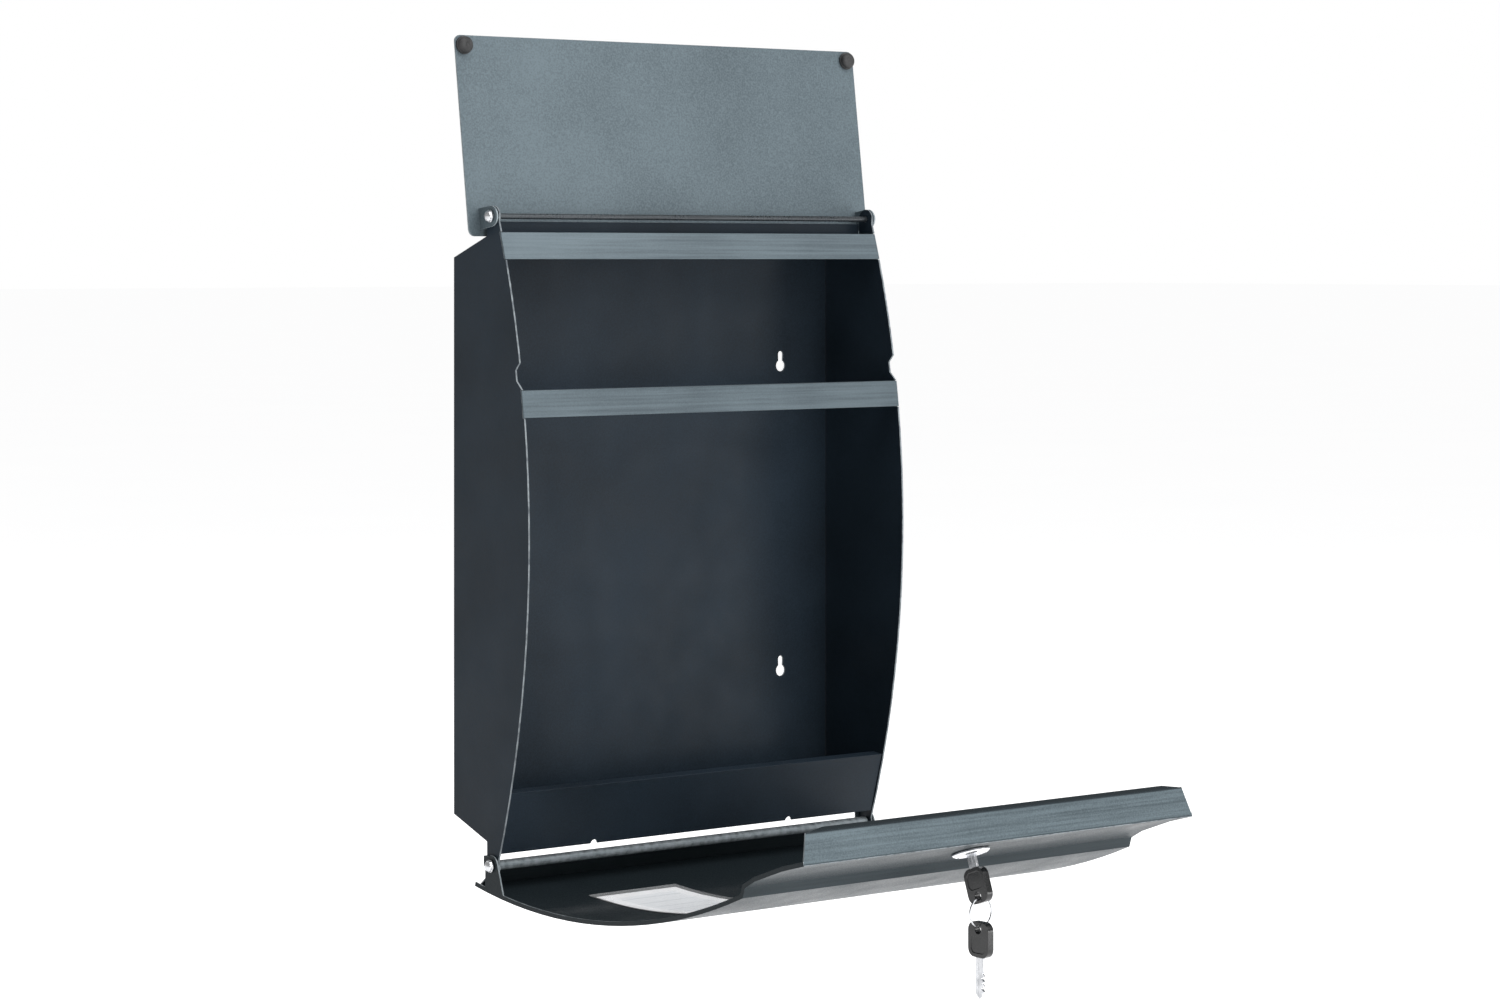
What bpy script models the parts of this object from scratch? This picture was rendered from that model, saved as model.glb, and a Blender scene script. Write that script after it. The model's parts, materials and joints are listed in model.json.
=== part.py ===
"""Wall mounted mailbox: bowed steel body, swing-up lid, drop-down bowed door with a cam lock.

Metres, +Z up.  The wall is the plane Y = 0 and the box stands in front of it, towards -Y.
The origin is the centre of the back panel's wall face.  The lid and the door are modelled
about their own hinge axes, closed, and two empties swing them to the open rest pose.
"""

import math

import bmesh
import bpy
from mathutils import Matrix, Vector

MM = 0.001

# ---- body ----------------------------------------------------------------------------
BODY_WIDTH = 300 * MM          # over the outer faces of the side panels
BACK_HEIGHT = 342 * MM         # height of the back panel
BODY_DEPTH = 77.8 * MM         # wall to the proudest point of the side panels
FRONT_RADIUS = 625 * MM        # bow of the side panels' front edges
SHEET = 1.2 * MM               # body sheet
GAP = 0.3 * MM                 # between pieces that touch
ROOF_RISE = 13 * MM            # how far the roof climbs towards the front
EAR_SETBACK = 35 * MM          # wall to the back of the hinge ears
HINGE_SETBACK = 41.5 * MM      # wall to both hinge axes
LID_HINGE_RISE = 25 * MM       # lid hinge axis above the back panel's top
DOOR_HINGE_DROP = 27 * MM      # door hinge axis below the back panel's bottom
EAR_RADIUS = 6.4 * MM

# ---- cross bars and apron --------------------------------------------------------------
BAR_HEIGHT = 16.4 * MM
BAR_LIP = 6 * MM
UPPER_BAR_TOP = 15.3 * MM      # above the back panel's top
SLOT_HEIGHT = 79 * MM          # free height of the letter slot between the bars
NOTCH_HEIGHT = 16.5 * MM
NOTCH_DEPTH = 5 * MM
APRON_HEIGHT = 38 * MM
APRON_DROP = 19.5 * MM         # apron's lower edge below the back panel's bottom
APRON_INSET = 0.6 * MM
APRON_LIP = 8 * MM
DRAIN_RADIUS = 2.5 * MM
FLOOR_DRAIN_SPACING = 180 * MM
APRON_NICK_SPACING = 156 * MM
UPSTAND_HEIGHT = 9 * MM

# ---- hinge rods ----------------------------------------------------------------------------
ROD_RADIUS = 1.75 * MM
ROD_CLEARANCE = 0.3 * MM
CAP_RADIUS = 3.9 * MM
CAP_LENGTH = 3.4 * MM
LUG_SHEET = 1.2 * MM
LUG_CLEARANCE = 0.6 * MM

# ---- wall fixing -----------------------------------------------------------------------
SCREW_SPACING_X = 220 * MM
SCREW_SPACING_Z = 200 * MM
KEYHOLE_RADIUS = 3.8 * MM
KEYHOLE_SLOT = 2.1 * MM
KEYHOLE_RISE = 7.5 * MM

# ---- lid -------------------------------------------------------------------------------
LID_OVERHANG = 10 * MM         # lid's side beyond the body's side
LID_COVER = 13.9 * MM           # closed lid's free edge below the ledge of the door
LID_TAIL = 10.6 * MM           # hinge axis to the tail edge, along the sheet
LID_OFFSET = 12.2 * MM         # hinge axis to the lid's inner face
LID_SHEET = 1.2 * MM
LID_CORNER = 4 * MM
LID_LEAN = 7.4                 # degrees that the open lid leans back past upright
BUMPER_RADIUS = 5.5 * MM
BUMPER_HEIGHT = 4.5 * MM
BUMPER_INSET = 6.2 * MM

# ---- door ------------------------------------------------------------------------------
DOOR_OPEN = 76.0               # degrees between the closed door and the open rest pose
DOOR_OVERLAP = 1.5 * MM        # door's side beyond the body's side
DOOR_SHEET = 1.0 * MM
DOOR_RADIUS = 440 * MM         # bow of the door's outer face
DOOR_BULGE = 52.8 * MM         # proudest point of the door ahead of its hinge axis
CROWN_DROP = 67 * MM           # that point below the top of the bowed panel
DOOR_TAIL = 20.0 * MM          # door's lower edge below the hinge axis
LEDGE_RISE = 5.5 * MM          # ledge's top above the middle bar, with the door closed
STEP_DEPTH = 5.2 * MM          # joggle from the bowed panel in to the lock band
STEP_RISE = 3.2 * MM
BAND_HEIGHT = 54.2 * MM
BAND_FALLBACK = 5.4 * MM       # how far the lock band leans back from foot to head
BAND_LENGTH = math.hypot(BAND_HEIGHT, BAND_FALLBACK)
BAND_HOLLOW = 1.6 * MM
LEDGE_DEPTH = 18.2 * MM
LEDGE_CLEARANCE = 2.3 * MM     # ledge's rear end to the side panel's inner face
HEM_DEPTH = 3.2 * MM           # hem along the ledge's rear edge
HEM_SLOPE = 45                 # degrees that the hem is bent down, with the door closed
HEM_MITRE = 14 * MM            # how much shorter the hem's free edge is, at each end
EDGE_RETURN = 2.6 * MM         # depth of the door's turned-in side edges
LUG_FOOT = 10 * MM             # lug's lower and upper edges on the door, from the hinge axis
LUG_HEAD = 8 * MM
STOP_TAB_HEIGHT = 5.5 * MM
STOP_TAB_REACH = 4.4 * MM      # how far the stop tab bends in behind the leg

# ---- name card -------------------------------------------------------------------------
CARD_WIDTH = 61 * MM
CARD_LENGTH = 104 * MM
CARD_INSET = 53.5 * MM         # door's left edge to the card
CARD_FOOT = 29 * MM            # card's lower edge above the hinge axis
CARD_THICKNESS = 0.5 * MM
SLEEVE_THICKNESS = 0.6 * MM
SLEEVE_MARGIN = 3 * MM

# ---- lock and keys ---------------------------------------------------------------------
LOCK_DROP = 32.0 * MM          # lock axis below the door's top corner, along the band
LOCK_SEAT_MARGIN = 1.0 * MM    # flat part of the hollow round the lock flange
LOCK_FLANGE_RADIUS = 11.4 * MM
LOCK_FLANGE = 2.6 * MM
LOCK_BEVEL = 1.4 * MM          # width of the flange's bevelled rim
LOCK_RADIUS = 8 * MM
LOCK_LENGTH = 15 * MM          # barrel behind the flange
PLUG_RADIUS = 5.4 * MM
PLUG_CLEARANCE = 0.3 * MM
PLUG_SINK = 0.4 * MM           # plug's face below the flange's face
NUT_ACROSS = 11.2 * MM           # nut's half width over its corners
NUT_LENGTH = 3.2 * MM
CAM_LENGTH = 24 * MM
CAM_WIDTH = 11 * MM
CAM_THICKNESS = 1.8 * MM
CAM_SCREW_RADIUS = 3.6 * MM
CAM_SCREW_HEAD = 2.2 * MM
KEY_THICKNESS = 1.9 * MM
KEY_BLADE_WIDTH = 6.6 * MM
KEY_BLADE_LENGTH = 24 * MM
KEY_HEAD_WIDTH = 17 * MM
KEY_HEAD_LENGTH = 20.5 * MM
KEY_HEAD_THICKNESS = 4.6 * MM
KEY_SHANK = 7.5 * MM           # bare blade between the lock face and the head
KEY_HOLE_RADIUS = 2.6 * MM
KEY_HOLE_INSET = 4.3 * MM
RING_RADIUS = 8.5 * MM
RING_WIRE = 0.8 * MM
PLUG_FACE = GAP + LOCK_FLANGE - PLUG_SINK

BEYOND = 5 * MM                # how far a cutter runs past the sheet that it cuts
ROUND_STEPS = 24
BOW_STEPS = 20

HALF_WIDTH = BODY_WIDTH / 2
HALF_HEIGHT = BACK_HEIGHT / 2
BOW_CENTRE_Y = FRONT_RADIUS - BODY_DEPTH
LID_HINGE = Vector((0, -HINGE_SETBACK, HALF_HEIGHT + LID_HINGE_RISE))
DOOR_HINGE = Vector((0, -HINGE_SETBACK, -HALF_HEIGHT - DOOR_HINGE_DROP))
INNER_HALF = HALF_WIDTH - SHEET - GAP
UPPER_BAR_Z = HALF_HEIGHT + UPPER_BAR_TOP - BAR_HEIGHT
MIDDLE_BAR_Z = UPPER_BAR_Z - SLOT_HEIGHT - BAR_HEIGHT
NOTCH_Z = MIDDLE_BAR_Z + BAR_HEIGHT + GAP
APRON_Z = -HALF_HEIGHT - APRON_DROP
DOOR_HALF = HALF_WIDTH + DOOR_OVERLAP
LID_HALF = HALF_WIDTH + LID_OVERHANG
LEDGE_TOP = MIDDLE_BAR_Z + BAR_HEIGHT + LEDGE_RISE - DOOR_HINGE.z
PANEL_TOP = LEDGE_TOP - BAND_HEIGHT - STEP_RISE
LID_REACH = LID_HINGE.z - DOOR_HINGE.z - LEDGE_TOP + LID_COVER
DOOR_CROWN = PANEL_TOP - CROWN_DROP


def bow_y(z):
    """Y of the side panels' bowed front edge at height z."""
    return BOW_CENTRE_Y - math.sqrt(FRONT_RADIUS ** 2 - z ** 2)


# ---- mesh tools --------------------------------------------------------------------------

def make_material(name, colour, roughness, metallic):
    """A plain painted, metal or plastic finish."""
    material = bpy.data.materials.new(name)
    material.use_nodes = True
    shader = material.node_tree.nodes["Principled BSDF"]
    shader.inputs["Base Color"].default_value = (*colour, 1)
    shader.inputs["Roughness"].default_value = roughness
    shader.inputs["Metallic"].default_value = metallic
    return material


def place(mesh, name, material, parent=None):
    """Make a closed mesh an object of its own, with its faces turned out."""
    mesh_data = bpy.data.meshes.new(name)
    bmesh.ops.remove_doubles(mesh, verts=mesh.verts, dist=1e-6)
    bmesh.ops.recalc_face_normals(mesh, faces=mesh.faces)
    mesh.to_mesh(mesh_data)
    mesh.free()
    part = bpy.data.objects.new(name, mesh_data)
    bpy.context.scene.collection.objects.link(part)
    part.parent = parent
    if material:
        mesh_data.materials.append(material)
        mesh_data.shade_smooth()
        mesh_data.set_sharp_from_angle(angle=math.radians(35))
    return part


def skin(near_ring, far_ring):
    """A solid between two flat rings of matching (x, y, z) corners."""
    mesh = bmesh.new()
    near = [mesh.verts.new(corner) for corner in near_ring]
    far = [mesh.verts.new(corner) for corner in far_ring]
    mesh.faces.new(near)
    mesh.faces.new(reversed(far))
    for index in range(len(near)):
        after = (index + 1) % len(near)
        mesh.faces.new((near[index], far[index], far[after], near[after]))
    return mesh


def prism(outline, x_low, x_high):
    """A solid whose outline, (y, z) points, runs along X from x_low to x_high."""
    return skin([(x_low, y, z) for y, z in outline], [(x_high, y, z) for y, z in outline])


def upright(outline, z_low, z_high):
    """A solid whose outline, (x, y) points, runs along Z from z_low to z_high."""
    return skin([(x, y, z_low) for x, y in outline], [(x, y, z_high) for x, y in outline])


def turned(profile, steps=ROUND_STEPS):
    """A solid of revolution about +Z from (radius, z) points, listed from foot to head."""
    mesh = bmesh.new()
    rings = []
    for radius, z in profile:
        if radius == 0:
            rings.append([mesh.verts.new((0, 0, z))] * steps)
            continue
        turns = [2 * math.pi * step / steps for step in range(steps)]
        rings.append([mesh.verts.new((radius * math.cos(a), radius * math.sin(a), z)) for a in turns])
    for below, above in zip(rings, rings[1:]):
        for step in range(steps):
            after = (step + 1) % steps
            corners = dict.fromkeys((below[step], below[after], above[after], above[step]))
            if len(corners) > 2:
                mesh.faces.new(list(corners))
    for ring in (rings[0], rings[-1]):
        if len(set(ring)) > 2:
            mesh.faces.new(ring)
    return mesh


def along_x(mesh, centre, direction=1):
    """Turn a solid of revolution so that its axis runs along +X or -X from centre."""
    turn = Matrix.Rotation(direction * math.pi / 2, 4, "Y")
    bmesh.ops.transform(mesh, matrix=Matrix.Translation(centre) @ turn, verts=mesh.verts)
    return mesh


def thicken(line, thickness):
    """Outline of a bent sheet: the line and its copy moved to the line's left by thickness."""
    left = []
    for index, (y, z) in enumerate(line):
        normals = []
        for start, end in ((index - 1, index), (index, index + 1)):
            if start < 0 or end >= len(line):
                continue
            run_y, run_z = line[end][0] - line[start][0], line[end][1] - line[start][1]
            length = math.hypot(run_y, run_z)
            normals.append((-run_z / length, run_y / length))
        normal_y = sum(n[0] for n in normals)
        normal_z = sum(n[1] for n in normals)
        scale = thickness * len(normals) / (normal_y ** 2 + normal_z ** 2)
        left.append((y + normal_y * scale, z + normal_z * scale))
    return line + left[::-1]


def arc(centre, radius, start, end, steps):
    """(y, z) points round centre from the start angle to the end angle, in degrees."""
    points = []
    for step in range(steps + 1):
        angle = math.radians(start + (end - start) * step / steps)
        points.append((centre[0] + radius * math.cos(angle), centre[1] + radius * math.sin(angle)))
    return points


def cut(part, *cutters):
    """Subtract each cutter mesh from the part."""
    combine(part, "DIFFERENCE", cutters)


def join(part, *others):
    """Weld each other mesh to the part."""
    combine(part, "UNION", others)


def combine(part, operation, meshes):
    """Apply a Boolean of each mesh, given in the part's own space, to the part."""
    for mesh in meshes:
        helper = place(mesh, f"{part.name}_helper", None, part.parent)
        helper.hide_render = True
        helper.display_type = "WIRE"
        modifier = part.modifiers.new(helper.name, "BOOLEAN")
        modifier.operation = operation
        modifier.object = helper
        modifier.solver = "EXACT"


# ---- body ------------------------------------------------------------------------------

def bow_points(z_from, z_to, inset=0.0, steps=BOW_STEPS):
    """Points on the bow, or inset behind it, from one height to another."""
    heights = [z_from + (z_to - z_from) * step / steps for step in range(steps + 1)]
    return [(bow_y(z) + inset, z) for z in heights]


def bar_seat(z_low):
    """Outline of the shallow seat in a side panel's front edge where a bar's web lies."""
    z_high = z_low + BAR_HEIGHT + GAP
    z_low = z_low - GAP
    depth = SHEET + GAP
    return [(bow_y(z_low) + depth, z_low), (bow_y(z_low) - depth, z_low),
            (bow_y(z_high) - depth, z_high), (bow_y(z_high) + depth, z_high)]


def side_outline():
    """Outline of a side panel: straight back, raked ends, two hinge ears and a bowed front."""
    door_axis = (DOOR_HINGE.y, DOOR_HINGE.z)
    lid_axis = (LID_HINGE.y, LID_HINGE.z)
    outline = [(0, -HALF_HEIGHT), (0, HALF_HEIGHT)]
    outline.append((-EAR_SETBACK, HALF_HEIGHT + ROOF_RISE))
    outline += arc(lid_axis, EAR_RADIUS, 0, 165, 8)
    outline += bow_points(LID_HINGE.z - EAR_RADIUS / 2, DOOR_HINGE.z + EAR_RADIUS / 2)
    outline += arc(door_axis, EAR_RADIUS, 195, 360, 8)
    outline.append((-EAR_SETBACK, -HALF_HEIGHT - ROOF_RISE))
    return outline


def notch_outline():
    """Outline of the notch that the door's ledge drops into."""
    low, high = NOTCH_Z + GAP, NOTCH_Z + GAP + NOTCH_HEIGHT
    chamfer = NOTCH_DEPTH
    return [(bow_y(low) - chamfer, low - chamfer), (bow_y(low + chamfer) + NOTCH_DEPTH, low + chamfer),
            (bow_y(high - chamfer) + NOTCH_DEPTH, high - chamfer), (bow_y(high) - chamfer, high + chamfer)]


def build_side(name, side, material):
    """One side panel, with rod holes, bar seats and the ledge notch."""
    inner, outer = sorted((side * (HALF_WIDTH - SHEET), side * HALF_WIDTH))
    panel = place(prism(side_outline(), inner, outer), name, material)
    cutters = [prism(outline, inner - BEYOND, outer + BEYOND)
               for outline in (bar_seat(UPPER_BAR_Z), bar_seat(MIDDLE_BAR_Z), notch_outline())]
    bore = ROD_RADIUS + ROD_CLEARANCE
    for hinge in (LID_HINGE, DOOR_HINGE):
        start = Vector((inner - BEYOND, hinge.y, hinge.z))
        cutters.append(along_x(turned([(bore, 0), (bore, SHEET + 2 * BEYOND)], 16), start))
    cut(panel, *cutters)
    return panel


def keyhole(x, z):
    """Cutter for one wall keyhole: a round entry with a slot rising from it."""
    entry = arc((0, 0), KEYHOLE_RADIUS, 120, 420, 14)
    crown = arc((0, KEYHOLE_RISE), KEYHOLE_SLOT, 0, 180, 6)
    front, back = ([(x + across, y, z + up) for across, up in entry + crown] for y in (-BEYOND, BEYOND))
    return skin(front, back)


def build_back(material):
    """Back panel between the sides, with four keyholes for wall screws."""
    outline = [(-SHEET, -HALF_HEIGHT), (0, -HALF_HEIGHT), (0, HALF_HEIGHT), (-SHEET, HALF_HEIGHT)]
    panel = place(prism(outline, -INNER_HALF, INNER_HALF), "back_panel", material)
    cut(panel, *(keyhole(side * SCREW_SPACING_X / 2, level * SCREW_SPACING_Z / 2)
                 for side in (-1, 1) for level in (-1, 1)))


def build_roof(material):
    """Raked roof with an upstand that keeps rain out behind the lid hinge."""
    rake = ROOF_RISE / EAR_SETBACK
    back = -SHEET - GAP
    fold = -EAR_SETBACK + SHEET
    line = [(back, HALF_HEIGHT - back * rake), (fold, HALF_HEIGHT - fold * rake),
            (fold, HALF_HEIGHT + ROOF_RISE + UPSTAND_HEIGHT)]
    place(prism(thicken(line, SHEET), -INNER_HALF, INNER_HALF), "roof_panel", material)


def build_floor(material):
    """Raked floor, which drains towards the apron."""
    rake = ROOF_RISE / EAR_SETBACK
    back = -SHEET - GAP
    front = bow_y(APRON_Z) + APRON_INSET + SHEET + APRON_LIP / 2
    line = [(back, -HALF_HEIGHT + back * rake + SHEET), (front, -HALF_HEIGHT + front * rake + SHEET)]
    floor = place(prism(thicken(line, SHEET), -INNER_HALF, INNER_HALF), "floor_panel", material)
    drains = []
    for x in (-FLOOR_DRAIN_SPACING / 2, FLOOR_DRAIN_SPACING / 2):
        drain = turned([(DRAIN_RADIUS, -HALF_HEIGHT), (DRAIN_RADIUS, HALF_HEIGHT)], 12)
        bmesh.ops.translate(drain, vec=(x, -EAR_SETBACK / 2, -HALF_HEIGHT), verts=drain.verts)
        drains.append(drain)
    cut(floor, *drains)


def build_bar(name, z_low, top_lip, material):
    """A bent cross bar: a bowed web over the sides' seats and two lips between the sides."""
    web_front = bow_points(z_low, z_low + BAR_HEIGHT, 0, 2)
    web_back = [(y + SHEET, z) for y, z in web_front[::-1]]
    bar = place(prism(web_front + web_back, -HALF_WIDTH, HALF_WIDTH), name, material)
    lips = []
    for z, depth in ((z_low, BAR_LIP), (z_low + BAR_HEIGHT - SHEET, top_lip)):
        root = bow_y(z) + SHEET / 2
        outline = [(root, z), (root + depth, z), (root + depth, z + SHEET), (root, z + SHEET)]
        lips.append(prism(outline, -INNER_HALF, INNER_HALF))
    join(bar, *lips)


def build_apron(material):
    """Low front panel under the door opening, with a lip behind its top and two drain nicks."""
    top = APRON_Z + APRON_HEIGHT
    line = [(bow_y(APRON_Z) + APRON_INSET, APRON_Z), (bow_y(top) + APRON_INSET, top),
            (bow_y(top) + APRON_INSET + APRON_LIP, top + SHEET)]
    apron = place(prism(thicken(line[::-1], SHEET), -INNER_HALF, INNER_HALF), "apron", material)
    nicks = []
    for x in (-APRON_NICK_SPACING / 2, APRON_NICK_SPACING / 2):
        nick = turned([(DRAIN_RADIUS, -BEYOND), (DRAIN_RADIUS, BEYOND)], 12)
        turn = Matrix.Translation((x, bow_y(APRON_Z), APRON_Z)) @ Matrix.Rotation(math.pi / 2, 4, "X")
        bmesh.ops.transform(nick, matrix=turn, verts=nick.verts)
        nicks.append(nick)
    cut(apron, *nicks)


def build_rod(name, hinge, reach, rod_material, cap_material):
    """A hinge rod through the ears, and a push-on cap at each end."""
    length = 2 * reach
    tip = 0.5 * MM
    profile = [(ROD_RADIUS - tip, 0), (ROD_RADIUS, tip), (ROD_RADIUS, length - tip), (ROD_RADIUS - tip, length)]
    start = Vector((-reach, hinge.y, hinge.z))
    place(along_x(turned(profile, 16), start), name, rod_material)
    for side, word in ((-1, "left"), (1, "right")):
        cap = [(CAP_RADIUS, 0), (CAP_RADIUS, CAP_LENGTH * 0.5), (CAP_RADIUS * 0.62, CAP_LENGTH),
               (ROD_RADIUS * 0.8, CAP_LENGTH)]
        centre = Vector((side * (reach + GAP), hinge.y, hinge.z))
        place(along_x(turned(cap, 16), centre, side), f"{name}_cap_{word}", cap_material)


# ---- lid -------------------------------------------------------------------------------

def build_lid(pivot, sheet_material, rubber):
    """Flat lid with two hinge lugs and two rubber bumpers, upright about its own axis.

    The inner face looks to -Y, LID_OFFSET behind the hinge axis.
    """
    half = LID_HALF
    corners = ((half, LID_REACH, 0), (-half, LID_REACH, 90), (-half, -LID_TAIL, 180), (half, -LID_TAIL, 270))
    rim = []
    for x, z, start in corners:
        inward = (math.copysign(LID_CORNER, x), math.copysign(LID_CORNER, z))
        rim += arc((x - inward[0], z - inward[1]), LID_CORNER, start, start + 90, 4)
    front, back = ([(x, y, z) for x, z in rim] for y in (LID_OFFSET, LID_OFFSET + LID_SHEET))
    panel = place(skin(front, back), "lid_panel", sheet_material, pivot)
    root = LID_OFFSET + LID_SHEET / 2
    lug = [(root, -EAR_RADIUS), (root, EAR_RADIUS)] + arc((0, 0), EAR_RADIUS, 90, 270, 10)
    bore = ROD_RADIUS + ROD_CLEARANCE
    lug_start = HALF_WIDTH + LUG_CLEARANCE
    for side in (-1, 1):
        low, high = sorted((side * lug_start, side * (lug_start + LUG_SHEET)))
        join(panel, prism(lug, low, high))
        hole = turned([(bore, 0), (bore, 6 * MM)], 16)
        cut(panel, along_x(hole, Vector((side * (lug_start - 2 * MM), 0, 0)), side))
    for side, word in ((-1, "left"), (1, "right")):
        dome = [(BUMPER_RADIUS, 0), (BUMPER_RADIUS, BUMPER_HEIGHT * 0.45),
                (BUMPER_RADIUS * 0.86, BUMPER_HEIGHT * 0.82), (BUMPER_RADIUS * 0.5, BUMPER_HEIGHT), (0, BUMPER_HEIGHT)]
        bumper = turned(dome)
        spot = Vector((side * (half - BUMPER_INSET), LID_OFFSET - GAP, LID_REACH - BUMPER_INSET))
        stand = Matrix.Translation(spot) @ Matrix.Rotation(math.pi / 2, 4, "X")
        bmesh.ops.transform(bumper, matrix=stand, verts=bumper.verts)
        place(bumper, f"lid_bumper_{word}", rubber, pivot)


# ---- door ------------------------------------------------------------------------------

def door_bow(z, inset=0.0):
    """Y, from the hinge axis, of the closed door's bowed outer face, or of a face inside it."""
    return DOOR_RADIUS - DOOR_BULGE - math.sqrt((DOOR_RADIUS - inset) ** 2 - (z - DOOR_CROWN) ** 2)


def band_foot():
    """Foot of the lock band, just above the joggle."""
    return Vector((0, door_bow(PANEL_TOP) + STEP_DEPTH, PANEL_TOP + STEP_RISE))


def band_up():
    """Direction of the lock band from its foot to its head."""
    return Vector((0, BAND_FALLBACK, BAND_HEIGHT)).normalized()


def band_point(rise, depth=0.0):
    """A point rise up the lock band from its foot, and depth behind its face line."""
    up = band_up()
    return band_foot() + up * rise + Vector((0, up.z, -up.y)) * depth


def lock_rise():
    """Place of the lock axis, up the band from its foot."""
    return BAND_LENGTH - LOCK_DROP


def door_face(inset=0.0):
    """Closed door's outer face from its lower edge to the ledge corner, or a line inside it."""
    steps = BOW_STEPS
    heights = [-DOOR_TAIL + (PANEL_TOP + DOOR_TAIL) * step / steps for step in range(steps + 1)]
    bow = [(door_bow(z, inset), z) for z in heights]
    seat = LOCK_FLANGE_RADIUS + LOCK_SEAT_MARGIN
    band = [band_point(0, inset), band_point(lock_rise() - seat, BAND_HOLLOW + inset),
            band_point(lock_rise() + seat, BAND_HOLLOW + inset), band_point(BAND_LENGTH, inset)]
    band[3].z = band_point(BAND_LENGTH).z - inset
    return bow + [(point.y, point.z) for point in band]


def ledge(lap):
    """Ledge at the head of the lock band, narrower at its rear so that it passes the sides."""
    head = band_point(BAND_LENGTH)
    rear_half = HALF_WIDTH - SHEET - LEDGE_CLEARANCE
    foot = head.z - DOOR_SHEET
    rings = [[(-half, y, foot), (half, y, foot), (half, y, head.z), (-half, y, head.z)]
             for y, half in ((head.y + lap, DOOR_HALF), (head.y + LEDGE_DEPTH, rear_half))]
    return skin(*rings)


def ledge_hem(inset):
    """Bent hem on the ledge's rear edge, with mitred ends, rooted inset inside the ledge."""
    head = band_point(BAND_LENGTH)
    rear = head.y + LEDGE_DEPTH
    root_half = HALF_WIDTH - SHEET - LEDGE_CLEARANCE
    slope = math.radians(HEM_SLOPE)
    drop = HEM_DEPTH * math.sin(slope)
    rings = []
    for y, half, low, high in (
            (rear - inset, root_half, head.z - DOOR_SHEET + inset / 2, head.z - inset / 2),
            (rear + HEM_DEPTH * math.cos(slope), root_half - HEM_MITRE, head.z - DOOR_SHEET - drop, head.z - drop)):
        rings.append([(-half, y, low), (half, y, low), (half, y, high), (-half, y, high)])
    return skin(*rings)


def build_door_panel(pivot, material):
    """Bowed door: face with turned-in side edges, hinge knuckle, lugs, lock band and ledge."""
    face = door_face()
    door = place(prism(thicken(face[::-1], EDGE_RETURN), -DOOR_HALF, DOOR_HALF), "door_panel", material, pivot)
    inside = DOOR_HALF - DOOR_SHEET
    beyond = 40 * MM
    inner = door_face(DOOR_SHEET)
    hollow = [(inner[0][0], -DOOR_TAIL - beyond)] + inner + [(beyond, inner[-1][1]), (beyond, -DOOR_TAIL - beyond)]
    cut(door, prism(hollow, -inside, inside))
    join(door, ledge(DOOR_SHEET / 2), ledge_hem(DOOR_SHEET / 4))
    bore = ROD_RADIUS + ROD_CLEARANCE
    knuckle_half = HALF_WIDTH - SHEET - LUG_CLEARANCE
    tail = (face[0][0] + DOOR_SHEET / 2, face[0][1] + DOOR_SHEET / 2)
    web = prism(thicken([tail, (0, 0)], DOOR_SHEET), -knuckle_half, knuckle_half)
    knuckle = turned([(bore + DOOR_SHEET, 0), (bore + DOOR_SHEET, 2 * knuckle_half)], 20)
    join(door, web, along_x(knuckle, Vector((-knuckle_half, 0, 0))))
    lap = DOOR_SHEET / 2
    lug = [(door_bow(-LUG_FOOT) + lap, -LUG_FOOT), (door_bow(LUG_HEAD) + lap, LUG_HEAD)]
    lug += arc((0, 0), EAR_RADIUS, 90, -90, 8)
    for side in (-1, 1):
        root = sorted((side * inside, side * DOOR_HALF))
        tip = sorted((side * (inside - STOP_TAB_REACH), side * DOOR_HALF))
        join(door, prism(lug, *root), prism(stop_tab(0), *root))
        join(door, prism(stop_tab(HINGE_SETBACK - EAR_SETBACK + GAP), *tip))
    hole = turned([(bore, 0), (bore, 2 * LID_HALF)], 20)
    cut(door, along_x(hole, Vector((-LID_HALF, 0, 0))))
    seat = turned([(LOCK_RADIUS + PLUG_CLEARANCE, -BEYOND), (LOCK_RADIUS + PLUG_CLEARANCE, BEYOND)])
    bmesh.ops.transform(seat, matrix=lock_frame(), verts=seat.verts)
    cut(door, seat)


def shut(y, z):
    """Where a point of the open door, from the hinge axis, lies once the door is closed."""
    turn = math.radians(DOOR_OPEN)
    return (y * math.cos(turn) + z * math.sin(turn), z * math.cos(turn) - y * math.sin(turn))


def stop_tab(front):
    """Outline of a tab behind the leg of the open door, starting front from the hinge axis."""
    back = HINGE_SETBACK - EAR_SETBACK + GAP + DOOR_SHEET
    low = -DOOR_SHEET
    return [shut(*point) for point in ((front, low), (back, low), (back, STOP_TAB_HEIGHT),
                                       (front, STOP_TAB_HEIGHT))]


def lock_frame():
    """Place of the lock on the closed door: +Z points out of the keyway, Y up the band."""
    up = band_up()
    out = Vector((0, -up.z, up.y))
    frame = Matrix((up.cross(out), up, out)).transposed().to_4x4()
    frame.translation = band_point(lock_rise(), BAND_HOLLOW)
    return frame


def curved_slip(x_low, x_high, z_low, z_high, depth, thickness):
    """A thin slip lying on the door's inner face, depth behind it."""
    steps = 8
    heights = [z_low + (z_high - z_low) * step / steps for step in range(steps + 1)]
    near = [(door_bow(z, DOOR_SHEET + depth), z) for z in heights]
    far = [(door_bow(z, DOOR_SHEET + depth + thickness), z) for z in heights[::-1]]
    return prism(near + far, x_low, x_high)


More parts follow.
